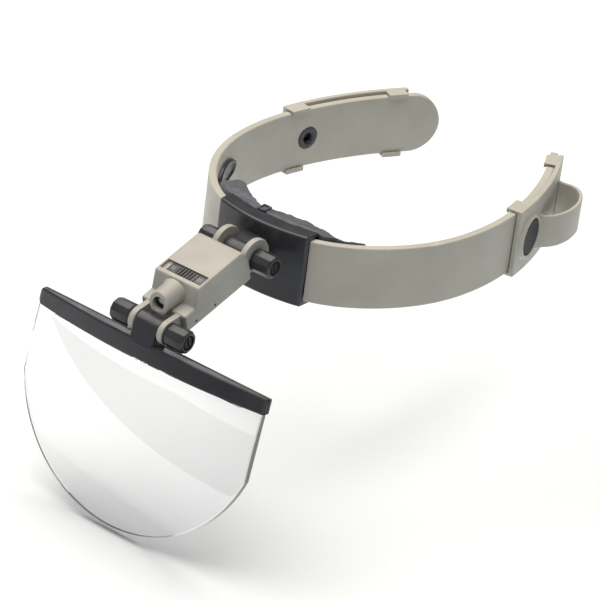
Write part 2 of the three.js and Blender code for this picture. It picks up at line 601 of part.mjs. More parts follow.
// ---- assembly ----
function headband() {
  const group = new THREE.Group();
  group.add(part('front_plate', frontPlate(), darkPlastic));
  group.add(part('plate_back_cover', backCover(), darkPlastic));
  group.add(part('forehead_pad', foreheadPad(), padLeatherette));
  group.add(part('pad_clip', padClip(), darkPlastic));
  for (const [end, z] of [['upper', PLATE_SCREW.z], ['lower', -PLATE_SCREW.z]]) {
    const fastener = screw('y', [0, 0, z], COVER_FRONT + COVER_THICKNESS - 0.05, PLATE_FRONT + 2,
      PLATE_SCREW.head, 0.9, 0.8);
    group.add(part(`plate_screw_${end}`, fastener, steel));
  }
  for (const [name, side] of Object.entries(SIDES)) {
    group.add(part(`arm_${name}`, mirrored(arm(), side), creamPlastic));
    group.add(part(`eyelet_${name}`, mirrored(eyelet(), side), darkPlastic));
    group.add(part(`pad_tab_${name}`, mirrored(padTab(), side), darkPlastic));
    group.add(part(`strap_holder_${name}`, mirrored(strapHolder(), side), creamPlastic));
    group.add(part(`strap_loop_${name}`, mirrored(strapLoop(), side), creamPlastic));
    group.add(part(`lock_button_${name}`, mirrored(lockButton(), side), darkPlastic));
  }
  return group;
}

function hingeHardware(name) {
  const group = new THREE.Group();
  group.add(part(`${name}_bolt`, bolt(), blackSteel));
  group.add(part(`${name}_nut`, nut(), blackSteel));
  for (const [sideName, side] of Object.entries(SIDES)) {
    group.add(part(`${name}_knob_${sideName}`, knob(side), darkPlastic));
    group.add(part(`${name}_washer_${sideName}`, washer(side), blackRubber));
  }
  return group;
}

function lampHousing() {
  const group = new THREE.Group();
  group.add(part('case_shell', caseShell(), greyPlastic));
  group.add(part('case_cover', caseCover(), greyPlastic));
  for (const [name, side] of Object.entries(SIDES)) {
    const fastener = screw('z', [side * CASE_SCREW.x, CASE_SCREW.y, 0], HOUSING.bottom + 0.1, 2.4,
      1.6, 0.75, 0.45);
    group.add(part(`case_screw_${name}`, fastener, steel));
    const lead = box([side * LED.leadX - 0.3, side * LED.leadX + 0.3], [LED.seat + 0.2, -30.6], [6.4, 6.8]);
    group.add(part(`led_lead_${name}`, lead, nickel));
  }
  for (const [name, floor] of Object.entries(CELL.floors)) {
    const cell = rod('z', [0, CELL.y, 0], CELL.radius, [floor, floor + CELL.thickness], 32);
    group.add(part(`button_cell_${name}`, cell, nickel));
  }
  group.add(part('battery_contact_lower', box([-3, 3], [-30.5, -12], [-2.8, -2.5]), nickel));
  group.add(part('battery_contact_upper', box([-3, 3], [-25, -12], [4.5, 4.8]), nickel));
  group.add(part('circuit_board', box([-9, 9], [-31.4, -9.8], [5.2, 6.2]), boardGreen));
  group.add(part('led', ledLamp(), ledEpoxy));
  group.add(part('switch_body', switchBody(), blackRubber));
  group.add(part('switch_slider', switchSlider(), darkPlastic));
  return group;
}

function visor() {
  const group = new THREE.Group();
  group.add(part('lens_rail', lensRail(), darkPlastic));
  group.add(part('rail_clamp_strip', clampStrip(), darkPlastic));
  group.add(part('lens', lens(), clearAcrylic));
  RAIL_SCREWS.forEach((x, index) => {
    const fastener = screw('y', [x, 0, RAIL_SCREW_Z], RAIL.rear - 0.1, 1.1, 1.6, 0.7, 0.6);
    group.add(part(`rail_screw_${index + 1}`, fastener, steel));
  });
  return group;
}

const magnifier = new THREE.Group();
magnifier.add(headband());

const housing = lampHousing();
housing.position.set(0, REAR_PIN.y, REAR_PIN.z);
housing.rotation.x = radians(HOUSING_PITCH);
housing.add(hingeHardware('rear'));
const frontHinge = hingeHardware('front');
frontHinge.position.set(0, FRONT_PIN.y, FRONT_PIN.z);
housing.add(frontHinge);
magnifier.add(housing);

const lensUnit = visor();
lensUnit.position.set(0, FRONT_PIN.y, FRONT_PIN.z);
lensUnit.rotation.x = radians(-LENS_TILT - HOUSING_PITCH);
housing.add(lensUnit);

export default magnifier;
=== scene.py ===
"""The looks of the head visor magnifier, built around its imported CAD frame."""
import json
from math import cos, exp, hypot, pi, radians, sin, sqrt

import bmesh
import bpy
from mathutils import Matrix, Vector, noise


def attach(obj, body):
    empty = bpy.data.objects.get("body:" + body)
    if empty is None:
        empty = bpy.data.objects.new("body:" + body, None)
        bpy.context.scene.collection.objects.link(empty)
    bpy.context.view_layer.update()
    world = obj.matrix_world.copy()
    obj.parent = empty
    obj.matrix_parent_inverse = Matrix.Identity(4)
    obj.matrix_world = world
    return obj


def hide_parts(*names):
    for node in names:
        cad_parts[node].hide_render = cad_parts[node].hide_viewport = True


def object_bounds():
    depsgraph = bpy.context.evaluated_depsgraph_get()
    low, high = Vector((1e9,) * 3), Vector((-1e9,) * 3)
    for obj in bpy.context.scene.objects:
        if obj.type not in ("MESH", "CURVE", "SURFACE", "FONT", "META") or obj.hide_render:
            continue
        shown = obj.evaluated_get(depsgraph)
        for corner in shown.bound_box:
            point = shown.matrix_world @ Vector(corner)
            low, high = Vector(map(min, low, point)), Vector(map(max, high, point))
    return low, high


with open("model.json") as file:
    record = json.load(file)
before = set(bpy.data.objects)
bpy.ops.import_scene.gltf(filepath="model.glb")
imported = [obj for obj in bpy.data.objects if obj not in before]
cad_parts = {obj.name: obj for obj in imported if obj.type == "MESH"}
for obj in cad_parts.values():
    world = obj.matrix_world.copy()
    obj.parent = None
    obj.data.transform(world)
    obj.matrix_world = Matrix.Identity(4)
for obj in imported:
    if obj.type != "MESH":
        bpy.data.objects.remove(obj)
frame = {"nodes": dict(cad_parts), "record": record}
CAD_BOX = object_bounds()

MM = 0.001
SIDES = {"left": 1, "right": -1}          # the wearer's left is +X

# ---- camera ----
VIEW_AZIMUTH = radians(35.6)
VIEW_ELEVATION = radians(27.54)
VIEW_ROLL = radians(7.41)
VIEW_DISTANCE = 1486.7 * MM
VIEW_LENS = 225.8                         # on a 36 mm sensor
AIM_FROM_BAND = Vector((-2.8, 22.0, -33.7)) * MM


def make_camera():
    right = Vector((cos(VIEW_AZIMUTH), sin(VIEW_AZIMUTH), 0))
    back = Vector((sin(VIEW_AZIMUTH) * cos(VIEW_ELEVATION), -cos(VIEW_AZIMUTH) * cos(VIEW_ELEVATION),
                   sin(VIEW_ELEVATION)))
    up = back.cross(right)
    rolled_right = right * cos(VIEW_ROLL) + up * sin(VIEW_ROLL)
    rolled_up = back.cross(rolled_right)
    camera = bpy.data.objects.new("camera", bpy.data.cameras.new("camera"))
    camera.data.lens = VIEW_LENS
    camera.data.sensor_width = 36
    camera.data.clip_end = 50
    place = AIM_FROM_BAND + back * VIEW_DISTANCE
    camera.matrix_world = Matrix((
        (*rolled_right, 0), (*rolled_up, 0), (*back, 0), (0, 0, 0, 1))).transposed()
    camera.matrix_world.translation = place
    bpy.context.scene.collection.objects.link(camera)
    bpy.context.scene.camera = camera


# ---- material helpers ----
def new_material(name):
    material = bpy.data.materials.new(name)
    material.use_nodes = True
    return material, material.node_tree.nodes, material.node_tree.links


def object_noise(nodes, links, scale, detail=4.0, roughness=0.55):
    coordinates = nodes.new("ShaderNodeTexCoord")
    texture = nodes.new("ShaderNodeTexNoise")
    texture.inputs["Scale"].default_value = scale
    texture.inputs["Detail"].default_value = detail
    texture.inputs["Roughness"].default_value = roughness
    links.new(coordinates.outputs["Object"], texture.inputs["Vector"])
    return texture.outputs["Fac"]


def ramp(nodes, links, source, low, high, at=(0.3, 0.7)):
    """Maps source to a colour between low and high."""
    mapper = nodes.new("ShaderNodeValToRGB")
    for element, place, colour in zip(mapper.color_ramp.elements, at, (low, high)):
        element.position = place
        element.color = (*colour, 1)
    links.new(source, mapper.inputs["Fac"])
    return mapper.outputs["Color"]


def span(nodes, links, source, low, high, at=(0.3, 0.7)):
    """Maps source to a number between low and high."""
    mapper = nodes.new("ShaderNodeMapRange")
    mapper.inputs["From Min"].default_value = at[0]
    mapper.inputs["From Max"].default_value = at[1]
    mapper.inputs["To Min"].default_value = low
    mapper.inputs["To Max"].default_value = high
    links.new(source, mapper.inputs["Value"])
    return mapper.outputs["Result"]


def bump(nodes, links, height, distance, strength=1.0, normal=None):
    node = nodes.new("ShaderNodeBump")
    node.inputs["Distance"].default_value = distance
    node.inputs["Strength"].default_value = strength
    links.new(height, node.inputs["Height"])
    if normal:
        links.new(normal, node.inputs["Normal"])
    return node.outputs["Normal"]


def tint(colour, factor):
    return tuple(min(1.0, channel * factor) for channel in colour)


def moulded_plastic(name, colour, roughness, cloud=0.06, edge=1.15, grain=8e-6, coat=0.0):
    """Injection-moulded plastic: faint clouding, a fine spark-eroded grain, and paler edges that are partly wear and
    partly a painted highlight.
    """
    material, nodes, links = new_material(name)
    shader = nodes["Principled BSDF"]
    clouds = object_noise(nodes, links, 55, detail=3)
    body = ramp(nodes, links, clouds, tint(colour, 1 - cloud), tint(colour, 1 + cloud))
    geometry = nodes.new("ShaderNodeNewGeometry")
    # painted highlight: pointiness picks out convex edges, which are lightened towards tint(colour, edge) as if light
    # caught every bevel
    edges = span(nodes, links, geometry.outputs["Pointiness"], 0, 1, at=(0.52, 0.6))
    painted_edge_highlight = nodes.new("ShaderNodeMix")
    painted_edge_highlight.data_type = "RGBA"
    links.new(edges, painted_edge_highlight.inputs["Factor"])
    links.new(body, painted_edge_highlight.inputs["A"])
    painted_edge_highlight.inputs["B"].default_value = (*tint(colour, edge), 1)
    links.new(painted_edge_highlight.outputs["Result"], shader.inputs["Base Color"])
    smears = object_noise(nodes, links, 140, detail=5)
    links.new(span(nodes, links, smears, roughness - 0.07, roughness + 0.09), shader.inputs["Roughness"])
    fine = bump(nodes, links, object_noise(nodes, links, 5200, detail=2), grain)
    wavy = bump(nodes, links, object_noise(nodes, links, 60, detail=1), 6e-5, 0.5, fine)
    links.new(wavy, shader.inputs["Normal"])
    shader.inputs["Specular IOR Level"].default_value = 0.4
    shader.inputs["Coat Weight"].default_value = coat
    shader.inputs["Coat Roughness"].default_value = 0.25
    return material


def metal(name, colour, roughness, stretch=1.0):
    """Plated steel with fine turning marks and dull patches."""
    material, nodes, links = new_material(name)
    shader = nodes["Principled BSDF"]
    patches = object_noise(nodes, links, 700, detail=6)
    links.new(ramp(nodes, links, patches, tint(colour, 0.8), colour), shader.inputs["Base Color"])
    links.new(span(nodes, links, patches, roughness - 0.06, roughness + 0.12), shader.inputs["Roughness"])
    links.new(bump(nodes, links, object_noise(nodes, links, 6000 * stretch, detail=1), 4e-6),
              shader.inputs["Normal"])
    shader.inputs["Metallic"].default_value = 1
    return material


def rubber(name, colour):
    material, nodes, links = new_material(name)
    shader = nodes["Principled BSDF"]
    dust = object_noise(nodes, links, 900, detail=6)
    links.new(ramp(nodes, links, dust, colour, tint(colour, 2.2)), shader.inputs["Base Color"])
    links.new(span(nodes, links, dust, 0.62, 0.85), shader.inputs["Roughness"])
    links.new(bump(nodes, links, dust, 2e-5), shader.inputs["Normal"])
    return material


def leatherette(name, colour):
    """Soft coated fabric: fine pebble grain, small creases and a dull sheen."""
    material, nodes, links = new_material(name)
    shader = nodes["Principled BSDF"]
    cloud = object_noise(nodes, links, 90, detail=4)
    links.new(ramp(nodes, links, cloud, tint(colour, 0.75), tint(colour, 1.3)), shader.inputs["Base Color"])
    links.new(span(nodes, links, cloud, 0.42, 0.58), shader.inputs["Roughness"])
    coordinates = nodes.new("ShaderNodeTexCoord")
    pebble = nodes.new("ShaderNodeTexVoronoi")
    pebble.inputs["Scale"].default_value = 1500
    links.new(coordinates.outputs["Object"], pebble.inputs["Vector"])
    grain = bump(nodes, links, pebble.outputs["Distance"], 2.5e-5, 0.6)
    creases = bump(nodes, links, object_noise(nodes, links, 420, detail=5, roughness=0.6), 1.2e-4, 0.5, grain)
    links.new(creases, shader.inputs["Normal"])
    shader.inputs["Sheen Weight"].default_value = 0.25
    shader.inputs["Sheen Roughness"].default_value = 0.5
    return material


def clear_acrylic(name):
    material, nodes, links = new_material(name)
    shader = nodes["Principled BSDF"]
    shader.inputs["Base Color"].default_value = (0.90, 0.905, 0.92, 1)
    shader.inputs["Transmission Weight"].default_value = 1
    shader.inputs["IOR"].default_value = 1.49
    shader.inputs["Coat Weight"].default_value = 1
    shader.inputs["Coat IOR"].default_value = 1.75
    shader.inputs["Coat Roughness"].default_value = 0.015
    smears = object_noise(nodes, links, 35, detail=6, roughness=0.7)
    links.new(span(nodes, links, smears, 0.0, 0.035, at=(0.45, 0.8)), shader.inputs["Roughness"])
    return material


def acrylic_edge(name):
    """The ground rim of the lens, which is matt and blue-grey."""
    material, nodes, links = new_material(name)
    shader = nodes["Principled BSDF"]
    grind = object_noise(nodes, links, 900, detail=3)
    links.new(ramp(nodes, links, grind, (0.42, 0.46, 0.52), (0.62, 0.66, 0.72)), shader.inputs["Base Color"])
    links.new(span(nodes, links, grind, 0.25, 0.45), shader.inputs["Roughness"])
    return material


def lamp_epoxy(name):
    material, nodes, links = new_material(name)
    shader = nodes["Principled BSDF"]
    cloud = object_noise(nodes, links, 900, detail=3)
    links.new(ramp(nodes, links, cloud, (0.72, 0.73, 0.68), (0.93, 0.93, 0.88)), shader.inputs["Base Color"])
    links.new(span(nodes, links, cloud, 0.05, 0.12), shader.inputs["Roughness"])
    shader.inputs["Transmission Weight"].default_value = 0.35
    shader.inputs["IOR"].default_value = 1.53
    return material


MATERIALS = {
    "cream_plastic": moulded_plastic("cream_plastic", (0.46, 0.455, 0.41), 0.42),
    "grey_plastic": moulded_plastic("grey_plastic", (0.37, 0.37, 0.345), 0.4, cloud=0.1),
    # edge=1.9 paints a strong highlight on the dark plastic's edges, nearly twice its own colour
    "dark_plastic": moulded_plastic("dark_plastic", (0.028, 0.0305, 0.0385), 0.34, cloud=0.12, edge=1.9,
                                    coat=0.15),
    "satin_dark": moulded_plastic("satin_dark", (0.019, 0.0215, 0.028), 0.62, cloud=0.12),
    "pad_leatherette": leatherette("pad_leatherette", (0.064, 0.077, 0.100)),
    "black_rubber": rubber("black_rubber", (0.012, 0.012, 0.013)),
    "steel": metal("steel", (0.60, 0.60, 0.62), 0.3),
    "black_steel": metal("black_steel", (0.05, 0.05, 0.055), 0.42),
    "nickel": metal("nickel", (0.72, 0.71, 0.68), 0.26),
    "clear_acrylic": clear_acrylic("clear_acrylic"),
    "acrylic_edge": acrylic_edge("acrylic_edge"),
    "led_epoxy": lamp_epoxy("led_epoxy"),
    "circuit_board": moulded_plastic("circuit_board", (0.02, 0.13, 0.05), 0.35, cloud=0.2),
}
NODE_SLOTS = {entry["node"]: entry["material_slot"] for entry in frame["record"]["subparts"]}
NODE_BODIES = {node: body for body, nodes in frame["record"]["behaviour"]["bodies"].items() for node in nodes}


# ---- mesh helpers ----
# Shapes are made in millimetres in the CAD frame, and become metres when a piece is made.
def dress(piece, body, slot, material=None):
    piece.data.materials.clear()
    piece.data.materials.append(MATERIALS[material or slot])
    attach(piece, body)
    return piece


def make_piece(shape, name, smooth_angle=32):
    bmesh.ops.triangulate(shape, faces=[face for face in shape.faces if len(face.verts) > 4])
    bmesh.ops.recalc_face_normals(shape, faces=shape.faces)
    mesh = bpy.data.meshes.new(name)
    shape.to_mesh(mesh)
    shape.free()
    mesh.transform(Matrix.Scale(MM, 4))
    mesh.polygons.foreach_set("use_smooth", [True] * len(mesh.polygons))
    mesh.set_sharp_from_angle(angle=radians(smooth_angle))
    piece = bpy.data.objects.new(name, mesh)
    bpy.context.scene.collection.objects.link(piece)
    return piece


def stand_in(shape, name, node, smooth_angle=32):
    """A piece that replaces one CAD node, on its body and with its finish."""
    piece = make_piece(shape, name, smooth_angle)
    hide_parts(node)
    return dress(piece, NODE_BODIES[node], NODE_SLOTS[node])


def cad_shape(node):
    shape = bmesh.new()
    shape.from_mesh(frame["nodes"][node].data)
    shape.transform(Matrix.Scale(1 / MM, 4))
    bmesh.ops.remove_doubles(shape, verts=shape.verts, dist=2e-3)
    return shape


def round_edges(shape, width, segments=3, angle=30):
    sharp = [edge for edge in shape.edges
             if len(edge.link_faces) == 2 and edge.calc_face_angle(0) > radians(angle)]
    bmesh.ops.bevel(shape, geom=sharp, offset=width, offset_type="OFFSET", segments=segments, profile=0.5,
                    affect="EDGES", clamp_overlap=True, miter_outer="ARC", miter_inner="ARC")
    return shape


def refined(node, width=0.3, segments=3, angle=30):
    """A moulded version of a CAD node, with rounded edges and smooth curved faces."""
    piece = stand_in(round_edges(cad_shape(node), width, segments, angle), f"{node}_moulded", node)
    piece.modifiers.new("weighted normals", "WEIGHTED_NORMAL").keep_sharp = True
    return piece


def loft(shape, rings):
    """Joins closed rings of equal length, and closes both ends."""
    rows = [[shape.verts.new(point) for point in ring] for ring in rings]
    count = len(rows[0])
    for first, second in zip(rows, rows[1:]):
        for i in range(count):
            j = (i + 1) % count
            shape.faces.new((first[i], first[j], second[j], second[i]))
    shape.faces.new(rows[0])
    shape.faces.new(rows[-1])
    return shape


def rounded_outline(corners, radius, steps=4):
    """A polygon in the plane with each corner rounded; radius is one number or one for each corner."""
    radii = radius if isinstance(radius, (list, tuple)) else [radius] * len(corners)
    outline = []
    for i, (corner, size) in enumerate(zip(corners, radii)):
        here = Vector(corner)
        before = Vector(corners[i - 1]) - here
        after = Vector(corners[(i + 1) % len(corners)]) - here
        half = before.angle(after) / 2
        reach = min(size / max(0.2, abs(sin(half) / cos(half))), before.length * 0.49, after.length * 0.49)
        start = here + before.normalized() * reach
        end = here + after.normalized() * reach
        for step in range(steps + 1):
            t = step / steps
            outline.append(tuple(start * (1 - t) ** 2 + here * 2 * t * (1 - t) + end * t * t))
    return outline


def inset(corners, amount):
    """The polygon with every side moved inwards."""
    points = [Vector(corner) for corner in corners]
    area = sum(p.cross(q) for p, q in zip(points, points[1:] + points[:1]))
    turn = 1 if area > 0 else -1
    result = []
    for i, point in enumerate(points):
        into = (point - points[i - 1]).normalized()
        out = (points[(i + 1) % len(points)] - point).normalized()
        bisector = Vector((-into.y - out.y, into.x + out.x)) * turn
        result.append(tuple(point + bisector * (2 * amount / bisector.length_squared)))
    return result


def soft_ends(low, high, edge, steps=3):
    """Places along a prism, each with how far its outline is drawn in, so that both ends are rounded."""
    start = [(edge * (1 - cos(pi / 2 * k / steps)), edge * (1 - sin(pi / 2 * k / steps)))
             for k in range(steps + 1)]
    return [(low + reach, shrink) for reach, shrink in start] + \
           [(high - reach, shrink) for reach, shrink in reversed(start)]


def soft_prism(shape, corners, radius, low, high, edge, place):
    """A prism with rounded corners and rounded ends; place turns (along, u, v) into a point."""
    radii = radius if isinstance(radius, (list, tuple)) else [radius] * len(corners)
    rings = []
    for along, shrink in soft_ends(low, high, edge):
        sizes = [max(0.06, size - shrink) for size in radii]
        rings.append([place(along, u, v) for u, v in rounded_outline(inset(corners, shrink), sizes)])
    return loft(shape, rings)


def soft_box(shape, x, y, z, edge, place):
    """A box with every edge rounded."""
    corners = [(y[0], z[0]), (y[1], z[0]), (y[1], z[1]), (y[0], z[1])]
    return soft_prism(shape, corners, edge, x[0], x[1], edge, place)


def hub(shape, centre, radius, bore, low, high, rim):
    """A disc or barrel along X, with a bore and rounded rims."""
    profile = [(bore, low), (radius - rim, low), (radius - rim * 0.3, low + rim * 0.3), (radius, low + rim),
               (radius, high - rim), (radius - rim * 0.3, high - rim * 0.3), (radius - rim, high), (bore, high),
               (bore, low)]
    return lathe(shape, profile if bore else profile[:-1], centre, (1, 0, 0), 48)


def lathe(shape, profile, axis_point, axis, segments=48):
    """Turns a profile of (radius, distance along the axis) points round the axis."""
    axis = Vector(axis).normalized()
    side = axis.orthogonal().normalized()
    other = axis.cross(side)
    origin = Vector(axis_point)
    closed = profile[0] == profile[-1]
    rows = []
    for radius, along in profile[:-1] if closed else profile:
        if radius < 1e-6:
            rows.append([shape.verts.new(origin + axis * along)])
        else:
            rows.append([shape.verts.new(origin + axis * along + (side * cos(a) + other * sin(a)) * radius)
                         for a in (2 * pi * k / segments for k in range(segments))])
    following = rows[1:] + rows[:1] if closed else rows[1:]
    for first, second in zip(rows, following):
        for i in range(segments):
            j = (i + 1) % segments
            if len(first) == 1:
                shape.faces.new((first[0], second[j], second[i]))
            elif len(second) == 1:
                shape.faces.new((first[i], first[j], second[0]))
            else:
                shape.faces.new((first[i], first[j], second[j], second[i]))
    return shape


def combine(piece, tool_shape, operation="DIFFERENCE"):
    """Cuts a solid out of piece, or joins it on."""
    tool = make_piece(tool_shape, "tool")
    modifier = piece.modifiers.new("combine", "BOOLEAN")
    modifier.operation = operation
    modifier.solver = "MANIFOLD"
    modifier.object = tool
    mesh = bpy.data.meshes.new_from_object(piece.evaluated_get(bpy.context.evaluated_depsgraph_get()))
    piece.modifiers.clear()
    piece.data = mesh
    bpy.data.objects.remove(tool)
    return piece


def finish_moulding(piece, node, smooth_angle=32):
    """Cleans a combined solid, shades it, and puts it in the place of its CAD node."""
    shape = bmesh.new()
    shape.from_mesh(piece.data)
    bmesh.ops.remove_doubles(shape, verts=shape.verts, dist=4e-6)
    bmesh.ops.dissolve_degenerate(shape, edges=shape.edges, dist=2e-6)
    bmesh.ops.recalc_face_normals(shape, faces=shape.faces)
    shape.to_mesh(piece.data)
    shape.free()
    piece.data.polygons.foreach_set("use_smooth", [True] * len(piece.data.polygons))
    piece.data.set_sharp_from_angle(angle=radians(smooth_angle))
    piece.modifiers.new("weighted normals", "WEIGHTED_NORMAL").keep_sharp = True
    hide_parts(node)
    return dress(piece, NODE_BODIES[node], NODE_SLOTS[node])


# ---- the band's plan ----
ARM_ROOT = {"x": 5.43, "y": -14.08, "heading": 5.2}
ARM_ARCS = [(69.3, 14.5), (24, 2.5), (51.4, 20), (72.1, 45), (108, 35), (162, 72)]   # radius, length
ARM_LENGTH = sum(length for radius, length in ARM_ARCS)
ARM_THICKNESS = 3.3
ARM_HALF_HEIGHT = 13
BUTTON_STATION = 125.5
PLATE_FRONT = -16
PLATE_CURVE = 0.00721


def on_arm(station, offset=0.0, z=0.0, side=1):
    """The point at a distance along the arm's outer face, offset outwards from it."""
    x, y, heading = ARM_ROOT["x"], ARM_ROOT["y"], radians(ARM_ROOT["heading"])
    left = station
    for radius, length in ARM_ARCS:
        turn = min(left, length) / radius
        x += radius * (sin(heading + turn) - sin(heading))
        y += radius * (cos(heading) - cos(heading + turn))
        heading += turn
        left -= length
        if left <= 0:
            break
    return (side * (x + offset * sin(heading)), y - offset * cos(heading), z)


def outward(station, side=1):
    return Vector(on_arm(station, 1, 0, side)) - Vector(on_arm(station, 0, 0, side))


def spread(start, end, step):
    count = max(1, round((end - start) / step))
    return [start + (end - start) * i / count for i in range(count + 1)]


def plate_face(x):
    return PLATE_FRONT + PLATE_CURVE * x * x


# ---- stage ----
FLOOR_DROP = 2 * MM
SOFTBOX = {"place": (-0.30, -0.02, 1.6), "size": 2.2, "power": 55, "colour": (1.0, 0.915, 0.82)}
# The flag is a square dark card on the floor in front of the lens, which mirrors it as a faint grey band.
FLAG = {"corner": (-0.46, -0.35), "size": 0.52, "turn": radians(18)}


def flag_corners():
    corner = Vector(FLAG["corner"])
    along = Vector((cos(FLAG["turn"]), sin(FLAG["turn"]))) * FLAG["size"]
    away = Vector((along.y, -along.x))
    return [corner, corner + along, corner + along + away, corner + away]


def flat_sheet(name, corners, height, material):
    mesh = bpy.data.meshes.new(name)
    mesh.from_pydata([(x, y, height) for x, y in corners], [], [range(len(corners))])
    sheet = bpy.data.objects.new(name, mesh)
    sheet.data.materials.append(material)
    bpy.context.scene.collection.objects.link(sheet)
    return sheet


def stage_paper(name, low, high):
    material, nodes, links = new_material(name)
    shader = nodes["Principled BSDF"]
    paper = object_noise(nodes, links, 3, detail=2)
    links.new(ramp(nodes, links, paper, low, high), shader.inputs["Base Color"])
    shader.inputs["Roughness"].default_value = 0.9
    return material


def make_stage():
    low, high = CAD_BOX
    floor_height = low[2] - FLOOR_DROP
    white = stage_paper("studio_floor", (0.84, 0.91, 0.97), (0.86, 0.93, 0.99))
    flat_sheet("studio_floor", [(-6, -6), (6, -6), (6, 6), (-6, 6)], floor_height, white)
    grey = stage_paper("studio_flag", (0.05, 0.05, 0.06), (0.07, 0.07, 0.08))
    flag = flat_sheet("studio_flag", flag_corners(), floor_height + MM, grey)
    flag.visible_camera = False
    flag.visible_diffuse = False
    flag.visible_shadow = False
    flag.visible_transmission = False
    world = bpy.data.worlds.new("studio")
    world.use_nodes = True
    world.node_tree.nodes["Background"].inputs["Color"].default_value = (0.9, 0.95, 1, 1)
    world.node_tree.nodes["Background"].inputs["Strength"].default_value = 0.12
    bpy.context.scene.world = world
    bpy.context.scene.view_settings.view_transform = "Standard"
    centre = (Vector(low) + Vector(high)) / 2
    light = bpy.data.objects.new("softbox", bpy.data.lights.new("softbox", "AREA"))
    light.data.size = SOFTBOX["size"]
    light.data.energy = SOFTBOX["power"]
    light.data.color = SOFTBOX["colour"]
    light.location = centre + Vector(SOFTBOX["place"])
    light.rotation_euler = (centre - light.location).to_track_quat("-Z", "Y").to_euler()
    bpy.context.scene.collection.objects.link(light)


# ---- band ----
EYELET_RADIUS = 4.95
GROOVE = {"length": 13.4, "half_height": 1.9, "depth": 1.5}


def guide_groove(side):
    """The solid that is cut from the arm so that the button's pin can travel."""
    half = GROOVE["half_height"]
    section = [(-GROOVE["depth"], -half), (-GROOVE["depth"], half), (1, half), (1, -half)]
    places = spread(BUTTON_STATION, BUTTON_STATION + GROOVE["length"], 2)
    return loft(bmesh.new(), [[on_arm(station, offset, z, side) for offset, z in section] for station in places])


def make_arm(name, side):
    """One moulding with softly rounded edges, and a full round tip."""
    def section(station):
        from_tip = ARM_LENGTH - station
        half = ARM_HALF_HEIGHT
        if from_tip < half:
            half = sqrt(max(0.3, half ** 2 - (half - from_tip) ** 2))
        corners = [(0, -half), (0, half), (-ARM_THICKNESS, half), (-ARM_THICKNESS, -half)]
        return [on_arm(station, offset, z, side) for offset, z in rounded_outline(corners, 0.8)]
    straight = spread(0, ARM_LENGTH - ARM_HALF_HEIGHT, 2)
    tip = [ARM_LENGTH - ARM_HALF_HEIGHT * (1 - sin(radians(4.5 * k))) for k in range(1, 20)]
    piece = make_piece(loft(bmesh.new(), [section(station) for station in straight + tip]), f"arm_{name}_moulding")
    hole = lathe(bmesh.new(), [(0, -6), (EYELET_RADIUS, -6), (EYELET_RADIUS, 3), (0, 3)],
                 on_arm(BUTTON_STATION, 0, 0, side), outward(BUTTON_STATION, side))
    combine(piece, hole)
    combine(piece, guide_groove(side))
    finish_moulding(piece, f"arm_{name}")


def make_eyelet(name, side):
    """A dark ring pressed into the arm, with a countersunk bore."""
    outer = EYELET_RADIUS - 0.05
    profile = [(2.0, -0.2), (2.0, -3.0), (2.15, -3.3), (2.6, -3.62), (3.0, -3.72), (4.2, -3.72), (4.7, -3.6),
               (outer, -3.35), (outer, -0.2), (2.0, -0.2)]
    shape = lathe(bmesh.new(), profile, on_arm(BUTTON_STATION, 0, 0, side), outward(BUTTON_STATION, side))
    piece = make_piece(shape, f"eyelet_{name}_ring")
    combine(piece, guide_groove(side))
    finish_moulding(piece, f"eyelet_{name}")


PAD_TAB = {"station": 67, "half_length": 10.5, "half_height": 4.6, "lift": 2}


def make_pad_tab(name, side):
    """An oval tongue of the pad's cover, with a raised welded rim, flat on the arm's inner face."""
    heights = [(1.0, 0.2), (0.99, 0.9), (0.95, 1.45), (0.88, 1.7), (0.80, 1.6), (0.74, 1.15), (0.6, 0.95),
               (0.35, 1.0), (0.12, 1.02)]
    around = 72
    rows = []
    for reach, height in heights:
        ring = []
        for k in range(around):
            angle = 2 * pi * k / around
            ripple = 1 + 0.05 * reach * noise.noise(Vector((3 * cos(angle), 3 * sin(angle), side * 2 + reach)))
            station = PAD_TAB["station"] + PAD_TAB["half_length"] * reach * ripple * cos(angle)
            z = PAD_TAB["lift"] + PAD_TAB["half_height"] * reach * sin(angle)
            pucker = 0.16 * noise.noise(Vector((station * 0.9, z * 0.9, side))) * (height > 0.5)
            ring.append(on_arm(station, -ARM_THICKNESS - height - pucker, z, side))
        rows.append(ring)
    stand_in(loft(bmesh.new(), rows), f"pad_tab_{name}_tongue", f"pad_tab_{name}", 60)


PLATE = {"half_width": 21.8, "half_height": 15, "depth": 7.2, "wall": 1.5}


